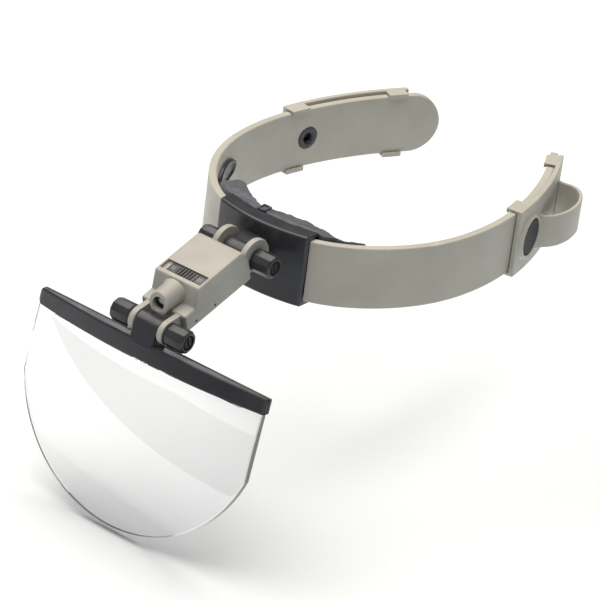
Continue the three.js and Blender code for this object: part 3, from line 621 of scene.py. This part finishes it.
def make_front_plate():
    """A channel that wraps the arms' roots, open to the rear, with the rear hinge's barrel in front."""
    front, back = 0, PLATE["depth"]
    top, wall = PLATE["half_height"], PLATE["wall"]
    corners = [(front, -top), (front, top), (back, top), (back, top - wall), (wall, top - wall),
               (wall, wall - top), (back, wall - top), (back, -top)]
    section = rounded_outline(corners, [1.3, 1.3, 0.5, 0.3, 0.6, 0.6, 0.3, 0.5])
    ends = [(PLATE["half_width"] - inset, shrink) for inset, shrink in ((0.0, 0.55), (0.16, 0.25), (0.55, 0.0))]
    inside = [(x, 0.0) for x in spread(-20.6, 20.6, 1.4)]
    rings = []
    for x, shrink in [(-x, shrink) for x, shrink in ends] + inside + ends[::-1]:
        scale = 1 - shrink / top
        rings.append([(x, plate_face(x) + shrink * 0.8 + depth * (1 - shrink / back), z * scale)
                      for depth, z in section])
    shape = loft(bmesh.new(), rings)
    piece = make_piece(shape, "front_plate_moulding")
    pin_y, pin_z = REAR_PIN
    web = [(pin_y, pin_z - 3.4), (PLATE_FRONT + 0.8, pin_z - 4.1), (PLATE_FRONT + 0.8, pin_z + 4.1),
           (pin_y, pin_z + 3.4)]
    combine(piece, soft_prism(bmesh.new(), web, 0.2, -5.5, 5.5, 0.3, lambda x, y, z: (x, y, z)), "UNION")
    hub_shape = hub(bmesh.new(), (0, pin_y, pin_z), BARREL_RADIUS, 0, -5.5, 5.5, 0.4)
    combine(piece, hub_shape, "UNION")
    for end in (-1, 1):
        post = lathe(bmesh.new(), [(0, 0.8), (2, 0.8), (2, 5.35), (1.15, 5.35), (1.15, 1.6), (0, 1.6)],
                     (0, PLATE_FRONT, end * 9.4), (0, 1, 0), 24)
        combine(piece, post, "UNION")
    combine(piece, lathe(bmesh.new(), [(0, -7), (1.8, -7), (1.8, 7), (0, 7)], (0, pin_y, pin_z), (1, 0, 0), 32))
    finish_moulding(piece, "front_plate")


REAR_PIN = (-25.64, 4.74)
BARREL_RADIUS = 4.4


LOOP = {"start": 135.2, "thickness": 1.5, "half_height": 7, "middle": -2}
LOOP_CURVE = [Vector(point) for point in ((0, -0.3), (2, 12.5), (38, 18), (34, -0.3))]
HOLDER_FACE = 2.45


def bezier(points, t):
    a, b, c, d = points
    place = a * (1 - t) ** 3 + b * 3 * t * (1 - t) ** 2 + c * 3 * t * t * (1 - t) + d * t ** 3
    slope = (b - a) * 3 * (1 - t) ** 2 + (c - b) * 6 * t * (1 - t) + (d - c) * 3 * t * t
    return place, slope.normalized()


def make_strap_loop(name, side):
    """A D-shaped band that stands out of the holder, thicker where it springs from it."""
    rings = []
    steps = 48
    for i in range(steps + 1):
        t = i / steps
        place, slope = bezier(LOOP_CURVE, t)
        inwards = Vector((slope.y, -slope.x))
        root = 0.9 * max(0, 1 - min(t, 1 - t) / 0.07) ** 2
        top = LOOP["middle"] + LOOP["half_height"] + root
        low = LOOP["middle"] - LOOP["half_height"] - root
        corners = [(-root * 0.4, low), (-root * 0.4, top), (LOOP["thickness"] + root, top), (LOOP["thickness"] + root, low)]
        ring = []
        for depth, z in rounded_outline(corners, 0.55):
            point = place + inwards * depth
            ring.append(on_arm(LOOP["start"] + point.x, HOLDER_FACE + max(point.y, -0.3), z, side))
        rings.append(ring)
    stand_in(loft(bmesh.new(), rings), f"strap_loop_{name}_band", f"strap_loop_{name}")


HOLDER = {"start": 115, "end": 175, "inner": 0.25, "outer": 2.45, "half_height": 14.3}
HOOKS = [(115, 124.4), (164.4, 173)]
BOSS_PROFILE = [(7.8, 1.6), (7.8, 3.55), (7.95, 3.75), (8.25, 3.85), (8.6, 3.8), (8.9, 3.6), (9.2, 3.1),
                (9.45, 2.65), (9.9, 2.4), (9.9, 1.6), (7.8, 1.6)]


def make_strap_holder(name, side):
    """A carrier that slides on the arm: a curved plate, four hooks, and a raised ring for the button."""
    def along_arm(station, offset, z):
        return on_arm(station, offset, z, side)

    def strip(corners, radius, start, end, edge):
        radii = [radius] * len(corners)
        rings = []
        ends = soft_ends(start, end, edge)
        half = len(ends) // 2
        middle = [(station, 0) for station in spread(start, end, 2)[1:-1]]
        for station, shrink in ends[:half] + middle + ends[half:]:
            sizes = [max(0.06, size - shrink) for size in radii]
            rings.append([along_arm(station, u, v) for u, v in rounded_outline(inset(corners, shrink), sizes)])
        return loft(bmesh.new(), rings)

    low, high, top = HOLDER["inner"], HOLDER["outer"], HOLDER["half_height"]
    plate = strip([(low, -top), (high, -top), (high, top), (low, top)], 0.55, HOLDER["start"], HOLDER["end"], 0.4)
    piece = make_piece(plate, f"strap_holder_{name}_moulding")
    hook = [(low + 0.5, 13.25), (low + 0.5, top), (-4.45, top), (-4.45, 12.3), (-3.55, 12.3), (-3.55, 13.25)]
    for start, end in HOOKS:
        for flip in (1, -1):
            corners = [(offset, flip * z) for offset, z in hook]
            combine(piece, strip(corners, 0.3, start, end, 0.25), "UNION")
    centre, axis = on_arm(BUTTON_STATION, 0, 0, side), outward(BUTTON_STATION, side)
    recess = [(0, -1), (1.8, -1), (1.8, 1.45), (7.8, 1.45), (7.8, 5), (0, 5)]
    combine(piece, lathe(bmesh.new(), recess, centre, axis, 64))
    combine(piece, lathe(bmesh.new(), BOSS_PROFILE, centre, axis, 64), "UNION")
    finish_moulding(piece, f"strap_holder_{name}")


def make_lock_button(name, side):
    """A slightly dished disc with a turned rim, and its pin."""
    face = 3.65
    profile = [(0, face - 0.22), (4, face - 0.18), (6.1, face - 0.05), (6.6, face), (7.0, face - 0.03),
               (7.35, face - 0.3), (7.5, face - 0.9), (1.5, face - 0.9), (1.5, 0.35), (1.3, 0.15), (0, 0.15)]
    shape = lathe(bmesh.new(), profile, on_arm(BUTTON_STATION, 0, 0, side), outward(BUTTON_STATION, side), 64)
    piece = stand_in(shape, f"lock_button_{name}_disc", f"lock_button_{name}")
    dress(piece, f"lock_button_{name}", "dark_plastic", "satin_dark")


# ---- visor ----
FRONT_PIN = (-73.798, -10.803)
LENS_TILT = radians(-11.57)
RAIL = {"half_width": 56.3, "top": -7.4, "bottom": -13.55, "split": 4.0, "end_front": 2.5, "bow": 6.5,
        "top_bow": 7.5, "top_rise": 1.5}
LENS = {"half_width": 55.7, "top": -13.62, "arc_centre": -24.6, "corner": -41, "rear": 5.2, "edge": 2.9,
        "radius": 238, "axis_z": -30, "chamfer": 0.35}


def in_visor(x, y, z):
    """A point of the visor's own frame, whose origin is on the front pin, in the CAD frame."""
    return (x, FRONT_PIN[0] + y * cos(LENS_TILT) - z * sin(LENS_TILT),
            FRONT_PIN[1] + y * sin(LENS_TILT) + z * cos(LENS_TILT))


def make_lens_rail():
    rings = []
    half = RAIL["half_width"]
    ends = [(half, 1.1), (half - 0.12, 0.7), (half - 0.35, 0.36), (half - 0.7, 0.12), (half - 1.1, 0.0)]
    places = [(-x, s) for x, s in ends] + [(x, 0.0) for x in spread(2 - half, half - 2, 2.4)] + ends[::-1]
    for x, shrink in places:
        swell = 1 - (x / half) ** 2
        corners = [
            (RAIL["split"] - shrink, RAIL["bottom"] + shrink),
            (RAIL["end_front"] - RAIL["bow"] * swell + shrink, RAIL["bottom"] + shrink),
            (RAIL["end_front"] - RAIL["top_bow"] * swell + shrink, RAIL["top"] + 0.2 + RAIL["top_rise"] * swell - shrink),
            (RAIL["split"] - shrink, RAIL["top"] - shrink)]
        rings.append([in_visor(x, y, z) for y, z in rounded_outline(corners, [0.4, 0.7, 0.8, 0.4])])
    piece = make_piece(loft(bmesh.new(), rings), "lens_rail_moulding")
    radius = BARREL_RADIUS
    lug = [(-radius, 0), (-4.95, -6.4), (-4.95, -8), (3.8, -8), (3.8, -6), (radius - 0.1, 0)]
    combine(piece, soft_prism(bmesh.new(), lug, [0.3, 0.6, 0.4, 0.3, 0.6, 0.3], -5.5, 5.5, 0.3, in_visor), "UNION")
    combine(piece, hub(bmesh.new(), in_visor(0, 0, 0), radius, 0, -5.5, 5.5, 0.4), "UNION")
    combine(piece, lathe(bmesh.new(), [(0, -7), (1.8, -7), (1.8, 7), (0, 7)], in_visor(0, 0, 0), (1, 0, 0), 32))
    rebate = soft_box(bmesh.new(), (-46.4, 46.4), (2.1, 5), (-14.6, -9.35), 0.1, in_visor)
    combine(piece, rebate)
    finish_moulding(piece, "lens_rail")


def make_clamp_strip():
    """The rear half of the rail, screwed on behind the lens."""
    half = RAIL["half_width"]
    shape = soft_box(bmesh.new(), (-half, half), (RAIL["split"] + 0.2, RAIL_REAR), (RAIL["bottom"], RAIL["top"]),
                     0.4, in_visor)
    piece = make_piece(shape, "rail_clamp_strip_moulding")
    for x in RAIL_SCREWS:
        sink = [(0, -6), (1.05, -6), (1.05, RAIL_REAR - 0.8), (1.85, RAIL_REAR - 0.8), (1.85, 8), (0, 8)]
        axis = Vector(in_visor(0, 1, 0)) - Vector(in_visor(0, 0, 0))
        combine(piece, lathe(bmesh.new(), sink, in_visor(x, 0, RAIL_SCREW_Z), axis, 24))
    finish_moulding(piece, "rail_clamp_strip")


RAIL_REAR = 5.9
RAIL_SCREWS = (-40, -16, 16, 40)
RAIL_SCREW_Z = -11.4


def make_lens():
    """A plano-convex lens cut to a D, with small chamfers, and the tongue that the rail clamps."""
    half, radius = LENS["half_width"], LENS["radius"]
    arc_radius = hypot(half, LENS["arc_centre"] - LENS["corner"])
    columns, rows = 72, 56
    edge_sag = radius - sqrt(radius ** 2 - 57 ** 2)
    front = LENS["rear"] - LENS["edge"] - edge_sag

    def dome(x, z):
        return front + radius - sqrt(radius ** 2 - x * x - (z - LENS["axis_z"]) ** 2)

    def flat_back(x, z):
        return LENS["rear"]

    def plan(inset_by):
        """The D's grid of points, set in from its sides and its arc."""
        points = []
        for i in range(columns + 1):
            x = (half - inset_by) * sin(pi / 2 * (2 * i / columns - 1))
            bottom = LENS["arc_centre"] - sqrt((arc_radius - inset_by) ** 2 - x * x)
            shares = [0.5 - 0.5 * cos(pi * j / rows) for j in range(rows + 1)]
            points.append([(x, LENS["top"] + (bottom - LENS["top"]) * share) for share in shares])
        return points

    def rim_of(grid):
        return (grid[0] + [column[-1] for column in grid[1:-1]] + grid[-1][::-1]
                + [column[0] for column in grid[-2:0:-1]])

    shape = bmesh.new()
    chamfer = LENS["chamfer"]
    rims = []
    for face_depth, inward in ((dome, chamfer), (flat_back, -chamfer)):
        grid = [[shape.verts.new(in_visor(x, face_depth(x, z), z)) for x, z in column] for column in plan(chamfer)]
        for first, second in zip(grid, grid[1:]):
            for j in range(rows):
                shape.faces.new((first[j], first[j + 1], second[j + 1], second[j]))
        outer = [shape.verts.new(in_visor(x, face_depth(x, z) + inward, z)) for x, z in rim_of(plan(0))]
        rims.append((rim_of(grid), outer))
    strips = [rims[0][0], rims[0][1], rims[1][1], rims[1][0]]
    for first, second in zip(strips, strips[1:]):
        for i, vert in enumerate(first):
            j = (i + 1) % len(first)
            face = shape.faces.new((vert, first[j], second[j], second[i]))
            face.material_index = 1
    bmesh.ops.recalc_face_normals(shape, faces=shape.faces)
    soft_box(shape, (-46, 46), (2.35, 3.75), (LENS["top"] - 1, -9.6), 0.15, in_visor)
    piece = stand_in(shape, "lens_polished", "lens", 25)
    piece.data.materials.append(MATERIALS["acrylic_edge"])


# ---- lamp housing ----
HOUSING_PITCH = radians(17.14)
HOUSING = {"half_width": 11, "top": 11.17, "bottom": -4.16, "rear": -6.15, "top_front": -34.8,
           "face_foot": -38.1, "shelf": 3.64, "shelf_front": -43.8}
NOSE = {"z": 6.6, "crest_front": -44.2, "chin_front": -47.2, "chin": 3.35}
FRONT_EAR_PIN = (-50.6, -0.66)
POCKET = {"half_width": 9.9, "front": -33.1, "rear": -27.7, "floor": 9.95}


def in_housing(x, y, z):
    """A point of the housing's own frame, whose origin is on the rear pin, in the CAD frame."""
    return (x, REAR_PIN[0] + y * cos(HOUSING_PITCH) - z * sin(HOUSING_PITCH),
            REAR_PIN[1] + y * sin(HOUSING_PITCH) + z * cos(HOUSING_PITCH))


def make_nose():
    """A round snout with a slanted, softly turned end, which flares where it leaves the front face."""
    around = 64
    slope = (NOSE["crest_front"] - NOSE["chin_front"]) / (13 - NOSE["chin"])
    rows = []
    for reach, drawn_in in ((0, 0), (0.2, 0), (0.4, 0), (0.55, 0), (0.7, 0), (0.85, 0), (1, 0), (2, 0.16), (3, 0.5)):
        ring = []
        for k in range(around):
            angle = 2 * pi * k / around
            z = NOSE["z"] + 4.6 * sin(angle)
            end = NOSE["chin_front"] + (max(z, NOSE["chin"]) - NOSE["chin"]) * slope
            start = -36.0
            if reach <= 1:
                y = start + (end + 0.5 - start) * reach
            else:
                y = end + 0.5 * (1 - sin((reach - 1) * pi / 4))
            face = HOUSING["top_front"] - (HOUSING["top"] - z) * 0.438
            flare = 0.75 * max(0.0, 1 - max(0.0, face - y) / 1.6) ** 2
            radius = 4.9 + 0.5 * (y + 36) / 13 + flare - drawn_in
            ring.append(in_housing(radius * cos(angle), y, max(NOSE["z"] + radius * sin(angle), NOSE["chin"])))
        rows.append(ring)
    return loft(bmesh.new(), rows)


def make_case():
    h = HOUSING
    half = h["half_width"]
    side = [(h["rear"], h["bottom"]), (h["rear"], 4.3), (-9.1, h["top"]), (h["top_front"], h["top"]),
            (h["face_foot"], h["shelf"]), (h["shelf_front"], h["shelf"]), (h["shelf_front"], h["bottom"])]
    block = soft_prism(bmesh.new(), side, [0.7, 2.0, 2.4, 1.1, 1.2, 1.0, 0.7], -half, half, 0.8, in_housing)
    piece = make_piece(block, "case_shell_moulding")
    combine(piece, make_nose(), "UNION")
    pin_y, pin_z = FRONT_EAR_PIN
    rear_neck = [(0, h["bottom"]), (-4, 5), (-9.5, 5), (-9.5, h["bottom"])]
    front_neck = [(h["shelf_front"] + 1, h["bottom"]), (pin_y, pin_z - 3.5), (pin_y, pin_z + 4.8),
                  (h["shelf_front"], 3.3), (h["shelf_front"] + 1, 3.3)]
    for low, high in ((5.8, 8.4), (-8.4, -5.8)):
        combine(piece, hub(bmesh.new(), in_housing(0, 0, 0), 8.1, 0, low, high, 0.55), "UNION")
        combine(piece, soft_prism(bmesh.new(), rear_neck, 0.4, low, high, 0.35, in_housing), "UNION")
        combine(piece, soft_prism(bmesh.new(), front_neck, 0.4, low, high, 0.35, in_housing), "UNION")
        combine(piece, hub(bmesh.new(), in_housing(0, pin_y, pin_z), 4.8, 0, low, high, 0.5), "UNION")
    below = soft_box(bmesh.new(), (-20, 20), (-10, 20), (-30, h["bottom"]), 0.1, in_housing)
    combine(piece, below)
    bottom = h["bottom"] - 1
    inside = [(-7.4, bottom), (-7.4, 4), (-10, 9.9), (-26.4, 9.9), (-26.4, 8.7), (-34.4, 8.7), (-36.4, 3),
              (-36.4, bottom)]
    combine(piece, soft_prism(bmesh.new(), inside, 0.3, -10.2, 10.2, 0.3, in_housing))
    for x in (-7.7, 7.7):
        combine(piece, soft_box(bmesh.new(), (x - 1.9, x + 1.9), (-37.4, -31.8), (-2.6, 4.5), 0.2, in_housing),
                "UNION")
        down = Vector(in_housing(0, 0, 1)) - Vector(in_housing(0, 0, 0))
        combine(piece, lathe(bmesh.new(), [(0, -5), (0.9, -5), (0.9, 3), (0, 3)], in_housing(x, -33.7, 0), down, 16))
    recess = [(POCKET["front"], POCKET["floor"]), (POCKET["rear"], POCKET["floor"]),
              (POCKET["rear"], 12.5), (POCKET["front"], 12.5)]
    wide = POCKET["half_width"]
    combine(piece, soft_prism(bmesh.new(), recess, 0.15, -wide, wide, 0.15, in_housing))
    combine(piece, soft_box(bmesh.new(), (-2.6, 3.0), (-31.3, -29.5), (8, 11), 0.1, in_housing))
    for y in (-27.2, -38.2):
        dimple = [(0, half - 1.2), (0.6, half - 1.2), (0.62, half - 0.15), (0.8, half + 1), (0, half + 1)]
        combine(piece, lathe(bmesh.new(), dimple, in_housing(0, y, -2.05), (1, 0, 0), 20))
    for y, z in ((0, 0), FRONT_EAR_PIN):
        bore = lathe(bmesh.new(), [(0, -12), (1.8, -12), (1.8, 12), (0, 12)], in_housing(0, y, z), (1, 0, 0), 32)
        combine(piece, bore)
    forwards = Vector(in_housing(0, -1, 0)) - Vector(in_housing(0, 0, 0))
    nose_root = in_housing(0, 0, NOSE["z"])
    combine(piece, lathe(bmesh.new(), [(0, 33), (2.8, 33), (2.8, 48), (0, 48)], nose_root, forwards, 48))
    finish_moulding(piece, "case_shell")
    ring = [(1.9, 44.3), (2.75, 44.3), (2.75, 44.9), (2.5, 45.1), (2.1, 45.0), (1.9, 44.8), (1.9, 44.3)]
    grommet = make_piece(lathe(bmesh.new(), ring, nose_root, forwards, 40), "lamp_grommet")
    dress(grommet, "lamp_housing", "black_rubber")


def make_switch_slider():
    """The dark slide of the lamp switch, with thumb ridges in the middle and a mark at each end."""
    shape = bmesh.new()
    front, rear, floor = POCKET["front"], POCKET["rear"], POCKET["floor"]
    soft_box(shape, (-7.4, 9.7), (front + 0.2, rear - 0.2), (floor + 0.1, floor + 0.7), 0.2, in_housing)
    for i in range(5):
        x = -2.1 + 1.4 * i
        soft_box(shape, (x, x + 0.7), (front + 0.5, rear - 0.5), (floor + 0.4, floor + 1.15), 0.18, in_housing)
    for x in (-3.2, 5.4):
        soft_box(shape, (x, x + 0.35), (front + 0.45, rear - 0.45), (floor + 0.4, floor + 0.95), 0.1, in_housing)
    soft_box(shape, (-0.3, 2.7), (-31, -29.8), (8.6, floor + 0.5), 0.1, in_housing)
    stand_in(shape, "switch_slider_grip", "switch_slider")
    top = floor + 0.66
    marks = bmesh.new()
    for centre, spokes in ((-5.4, 4), (7.6, 8)):
        middle_y = (front + rear) / 2
        ring = [(0.5, top), (0.72, top), (0.72, top + 0.12), (0.5, top + 0.12), (0.5, top)]
        up = Vector(in_housing(0, 0, 1)) - Vector(in_housing(0, 0, 0))
        lathe(marks, ring, in_housing(centre, middle_y, 0), up, 20)
        for k in range(spokes):
            turn = 2 * pi * k / spokes + pi / 4

            def radial(along, u, v, turn=turn, centre=centre):
                x = centre + along * cos(turn) - u * sin(turn)
                return in_housing(x, middle_y + along * sin(turn) + u * cos(turn), v)
            soft_box(marks, (0.95, 1.5), (-0.13, 0.13), (top, top + 0.12), 0.04, radial)
    piece = make_piece(marks, "switch_marks")
    dress(piece, "switch_slider", "grey_plastic")


# ---- knobs ----
KNOB_SIDES = 10
KNOB_PROFILE = [   # distance along the pin, radius, how round the outline is
    (9.25, 1.85, 1), (9.25, 4.0, 0.6), (9.33, 4.35, 0.3), (9.55, 4.6, 0.1), (9.85, 4.7, 0.0), (13, 4.7, 0.0),
    (16.9, 4.7, 0.0), (17.25, 4.62, 0.0), (17.6, 4.4, 0.05), (17.85, 4.05, 0.2), (17.97, 3.7, 0.6),
    (18, 3.4, 1), (17.98, 3.15, 1), (17.85, 2.98, 1), (17.5, 2.92, 1), (16.7, 2.9, 1), (16.68, 1.85, 1)]


def make_knob(node, centre, side):
    """A ten-sided grip with softened corners, a chamfered end and a round recess."""
    facet = 2 * pi / KNOB_SIDES
    shares = (-0.5, -0.44, -0.36, 0, 0.36, 0.44)
    rows = []
    for along, radius, roundness in KNOB_PROFILE:
        ring = []
        for k in range(KNOB_SIDES):
            for share in shares:
                angle = facet * (k + share)
                flat = cos(facet / 2) / cos(facet * max(-0.45, min(0.45, share)))
                reach = radius * (flat * (1 - roundness) + roundness)
                ring.append((centre[0] + side * along, centre[1] + reach * cos(angle),
                             centre[2] + reach * sin(angle)))
        rows.append(ring)
    shape = bmesh.new()
    verts = [[shape.verts.new(point) for point in ring] for ring in rows]
    count = len(verts[0])
    for first, second in zip(verts, verts[1:] + verts[:1]):
        for i in range(count):
            j = (i + 1) % count
            shape.faces.new((first[i], first[j], second[j], second[i]))
    stand_in(shape, f"{node}_grip", node, 17)


# ---- forehead pad ----
PAD_HALF_HEIGHT = 14.9
PAD_SHOULDER = {"at": -26, "reach": 7.4, "width": 7}       # the thick end, on the wearer's right
PAD_WAIST = {"at": -6.3, "reach": -3.2, "width": 6.5}     # thinnest beside the clip
PAD_RIPPLE = {"start": 6.5, "crest": 13, "reach": 0.6}      # slack cover towards the thin wing
PAD_WING = {"start": 28, "reach": 2.8, "width": 10}         # the tip follows the arm
PAD_SHRINK = 0.3                        # the cover's skin lies inside its outline before it is inflated
PAD_CAP = 1.0                            # the most that inflation may move a point
PAD_GRID = 1.2


def along_points(points, x):
    """Reads a list of (x, y) points at x, with a straight line between them."""
    if x <= points[0][0]:
        return points[0][1]
    for (x0, y0), (x1, y1) in zip(points, points[1:]):
        if x <= x1:
            return y0 + (y1 - y0) * (x - x0) / (x1 - x0)
    return points[-1][1]


def pad_rear(x):
    """How far back the pad's top edge reaches at x."""
    rear = sum(part["reach"] * exp(-((x - part["at"]) / part["width"]) ** 2) for part in (PAD_SHOULDER, PAD_WAIST))
    if x > PAD_RIPPLE["start"]:
        rear += PAD_RIPPLE["reach"] * cos(pi * (x - PAD_RIPPLE["crest"]) / PAD_RIPPLE["crest"])
    if x > PAD_WING["start"]:
        rear += PAD_WING["reach"] * ((x - PAD_WING["start"]) / PAD_WING["width"]) ** 2
    return rear


def pad_front_points():
    """The faces that the pad lies against: the plate's rear cover, then the arm's inner face."""
    half = [(0, -8.1), (10, -7.3), (20.3, -4.8)]
    for station in spread(16, 46, 2):
        x, y, z = on_arm(station, -ARM_THICKNESS - 0.25)
        if x > 22:
            half.append((x, y))
    return [(-x, y) for x, y in reversed(half[1:])] + half


def make_forehead_pad():
    """A foam pad in a leatherette cover, inflated against the parts in front of it."""
    front_points = pad_front_points()
    rings = []
    low, high = -33.2, 38.0
    for x, shrink in soft_ends(low, high, 1.2, 4)[:5] + [(x, 0) for x in spread(low + 2, high - 2, 1.5)] + \
            soft_ends(low, high, 1.2, 4)[5:]:
        front = along_points(front_points, x) + PAD_SHRINK
        rear = max(pad_rear(x) - PAD_SHRINK, front + 1.3)
        wing = max(0.0, (abs(x) - 24) / 14)
        top = PAD_HALF_HEIGHT - PAD_SHRINK - 1.6 * wing ** 2 - shrink
        squeeze = min(shrink, (rear - front) * 0.3)
        corners = [(front + squeeze * 0.5, -top), (front + squeeze * 0.5, top), (rear - squeeze, top),
                   (rear - squeeze, -top)]
        radius = min(1.1, (rear - front) * 0.42)
        rings.append([(x, y, z) for y, z in rounded_outline(corners, [0.5, 0.5, radius, radius])])
    pad = make_piece(loft(bmesh.new(), rings), "forehead_pad_cushion")
    remesh = pad.modifiers.new("remesh", "REMESH")
    remesh.mode = "VOXEL"
    remesh.voxel_size = PAD_GRID * MM
    apply_modifiers(pad)
    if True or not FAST_PAD:
        inflate(pad)
    smooth = pad.modifiers.new("subdivision", "SUBSURF")
    smooth.levels = smooth.render_levels = 1
    apply_modifiers(pad)
    wrinkle(pad, front_points)
    pad.data.polygons.foreach_set("use_smooth", [True] * len(pad.data.polygons))
    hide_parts("forehead_pad")
    dress(pad, "headband", "pad_leatherette")


FAST_PAD = False


def apply_modifiers(piece):
    mesh = bpy.data.meshes.new_from_object(piece.evaluated_get(bpy.context.evaluated_depsgraph_get()))
    piece.modifiers.clear()
    piece.data = mesh


def inflate(pad):
    rest = [vertex.co.copy() for vertex in pad.data.vertices]
    cloth = pad.modifiers.new("cloth", "CLOTH")
    cloth.settings.use_pressure = True
    cloth.settings.uniform_pressure_force = 4
    cloth.settings.quality = 6
    cloth.settings.tension_stiffness = 12
    cloth.settings.bending_stiffness = 0.3
    cloth.settings.effector_weights.gravity = 0
    scene = bpy.context.scene
    for step in range(1, 21):
        scene.frame_set(step)
    swollen = pad.evaluated_get(bpy.context.evaluated_depsgraph_get()).data
    places = []
    for start, vertex in zip(rest, swollen.vertices):
        move = vertex.co - start
        reach = PAD_CAP * MM
        places.append(start + (move * (reach / move.length) if move.length > reach else move))
    pad.modifiers.clear()
    for vertex, place in zip(pad.data.vertices, places):
        vertex.co = place
    scene.frame_set(1)


def wrinkle(pad, front_points):
    """Adds the cover's creases and its sewn channel, and keeps it off the parts in front."""
    mesh = pad.data
    normals = [vertex.normal.copy() for vertex in mesh.vertices]
    for vertex, normal in zip(mesh.vertices, normals):
        point = vertex.co / MM
        rough = noise.noise(point * 0.16) * 0.45 + noise.noise(point * 0.42 + Vector((7, 3, 1))) * 0.28
        folds = noise.noise(Vector((point.x * 0.5, point.y * 0.12, point.z * 0.06))) * 0.4
        rearward = max(0.0, normal.y)
        ring = max(0.0, 1 - abs(abs(point.z) - 10.2) / 1.1)
        channel = -0.7 * ring * ring * (rearward > 0.6)
        point += normal * (rough + folds * rearward + channel)
        face = along_points(front_points, point.x) + 0.02
        point.y = max(point.y, face)
        point.z = max(-PAD_HALF_HEIGHT, min(PAD_HALF_HEIGHT + 0.06 * rough, point.z))
        vertex.co = point * MM


def make_pad_clip():
    """A small open cell on the pad's top edge."""
    place = (lambda x, y, z: (x, y, z))
    piece = make_piece(soft_box(bmesh.new(), (-7.2, -3.2), (-8.0, -3.3), (14.3, 15.35), 0.25, place), "pad_clip_cell")
    combine(piece, soft_box(bmesh.new(), (-6.5, -3.9), (-7.3, -4.0), (14.7, 16), 0.15, place))
    finish_moulding(piece, "pad_clip")
    dress(piece, NODE_BODIES["pad_clip"], NODE_SLOTS["pad_clip"], "pad_leatherette")


# ---- everything else keeps its CAD shape, with moulded edges ----
EDGES = {
    "plate_back_cover": 0.3, "case_shell": 0.5, "case_cover": 0.25,
    "led": 0.2, "knob": 0.35, "washer": 0.15, "bolt": 0.2, "nut": 0.2, "rail_clamp_strip": 0.35,
    "switch_slider": 0.12, "switch_body": 0.2, "button_cell": 0.35, "battery_contact": 0.08,
    "circuit_board": 0.15, "led_lead": 0.08, "screw": 0.12, "forehead_pad": 1,
}


def edge_width(node):
    return next(width for key, width in EDGES.items() if key in node)


make_camera()
make_stage()
make_front_plate()
make_forehead_pad()
make_pad_clip()
make_case()
make_switch_slider()
make_lens_rail()
make_clamp_strip()
make_lens()
for name, side in SIDES.items():
    make_arm(name, side)
    make_eyelet(name, side)
    make_pad_tab(name, side)
    make_strap_holder(name, side)
    make_strap_loop(name, side)
    make_lock_button(name, side)
    make_knob(f"rear_knob_{name}", in_housing(0, 0, 0), side)
    make_knob(f"front_knob_{name}", in_visor(0, 0, 0), side)
for node in NODE_SLOTS:
    if not frame["nodes"][node].hide_render:
        refined(node, edge_width(node))
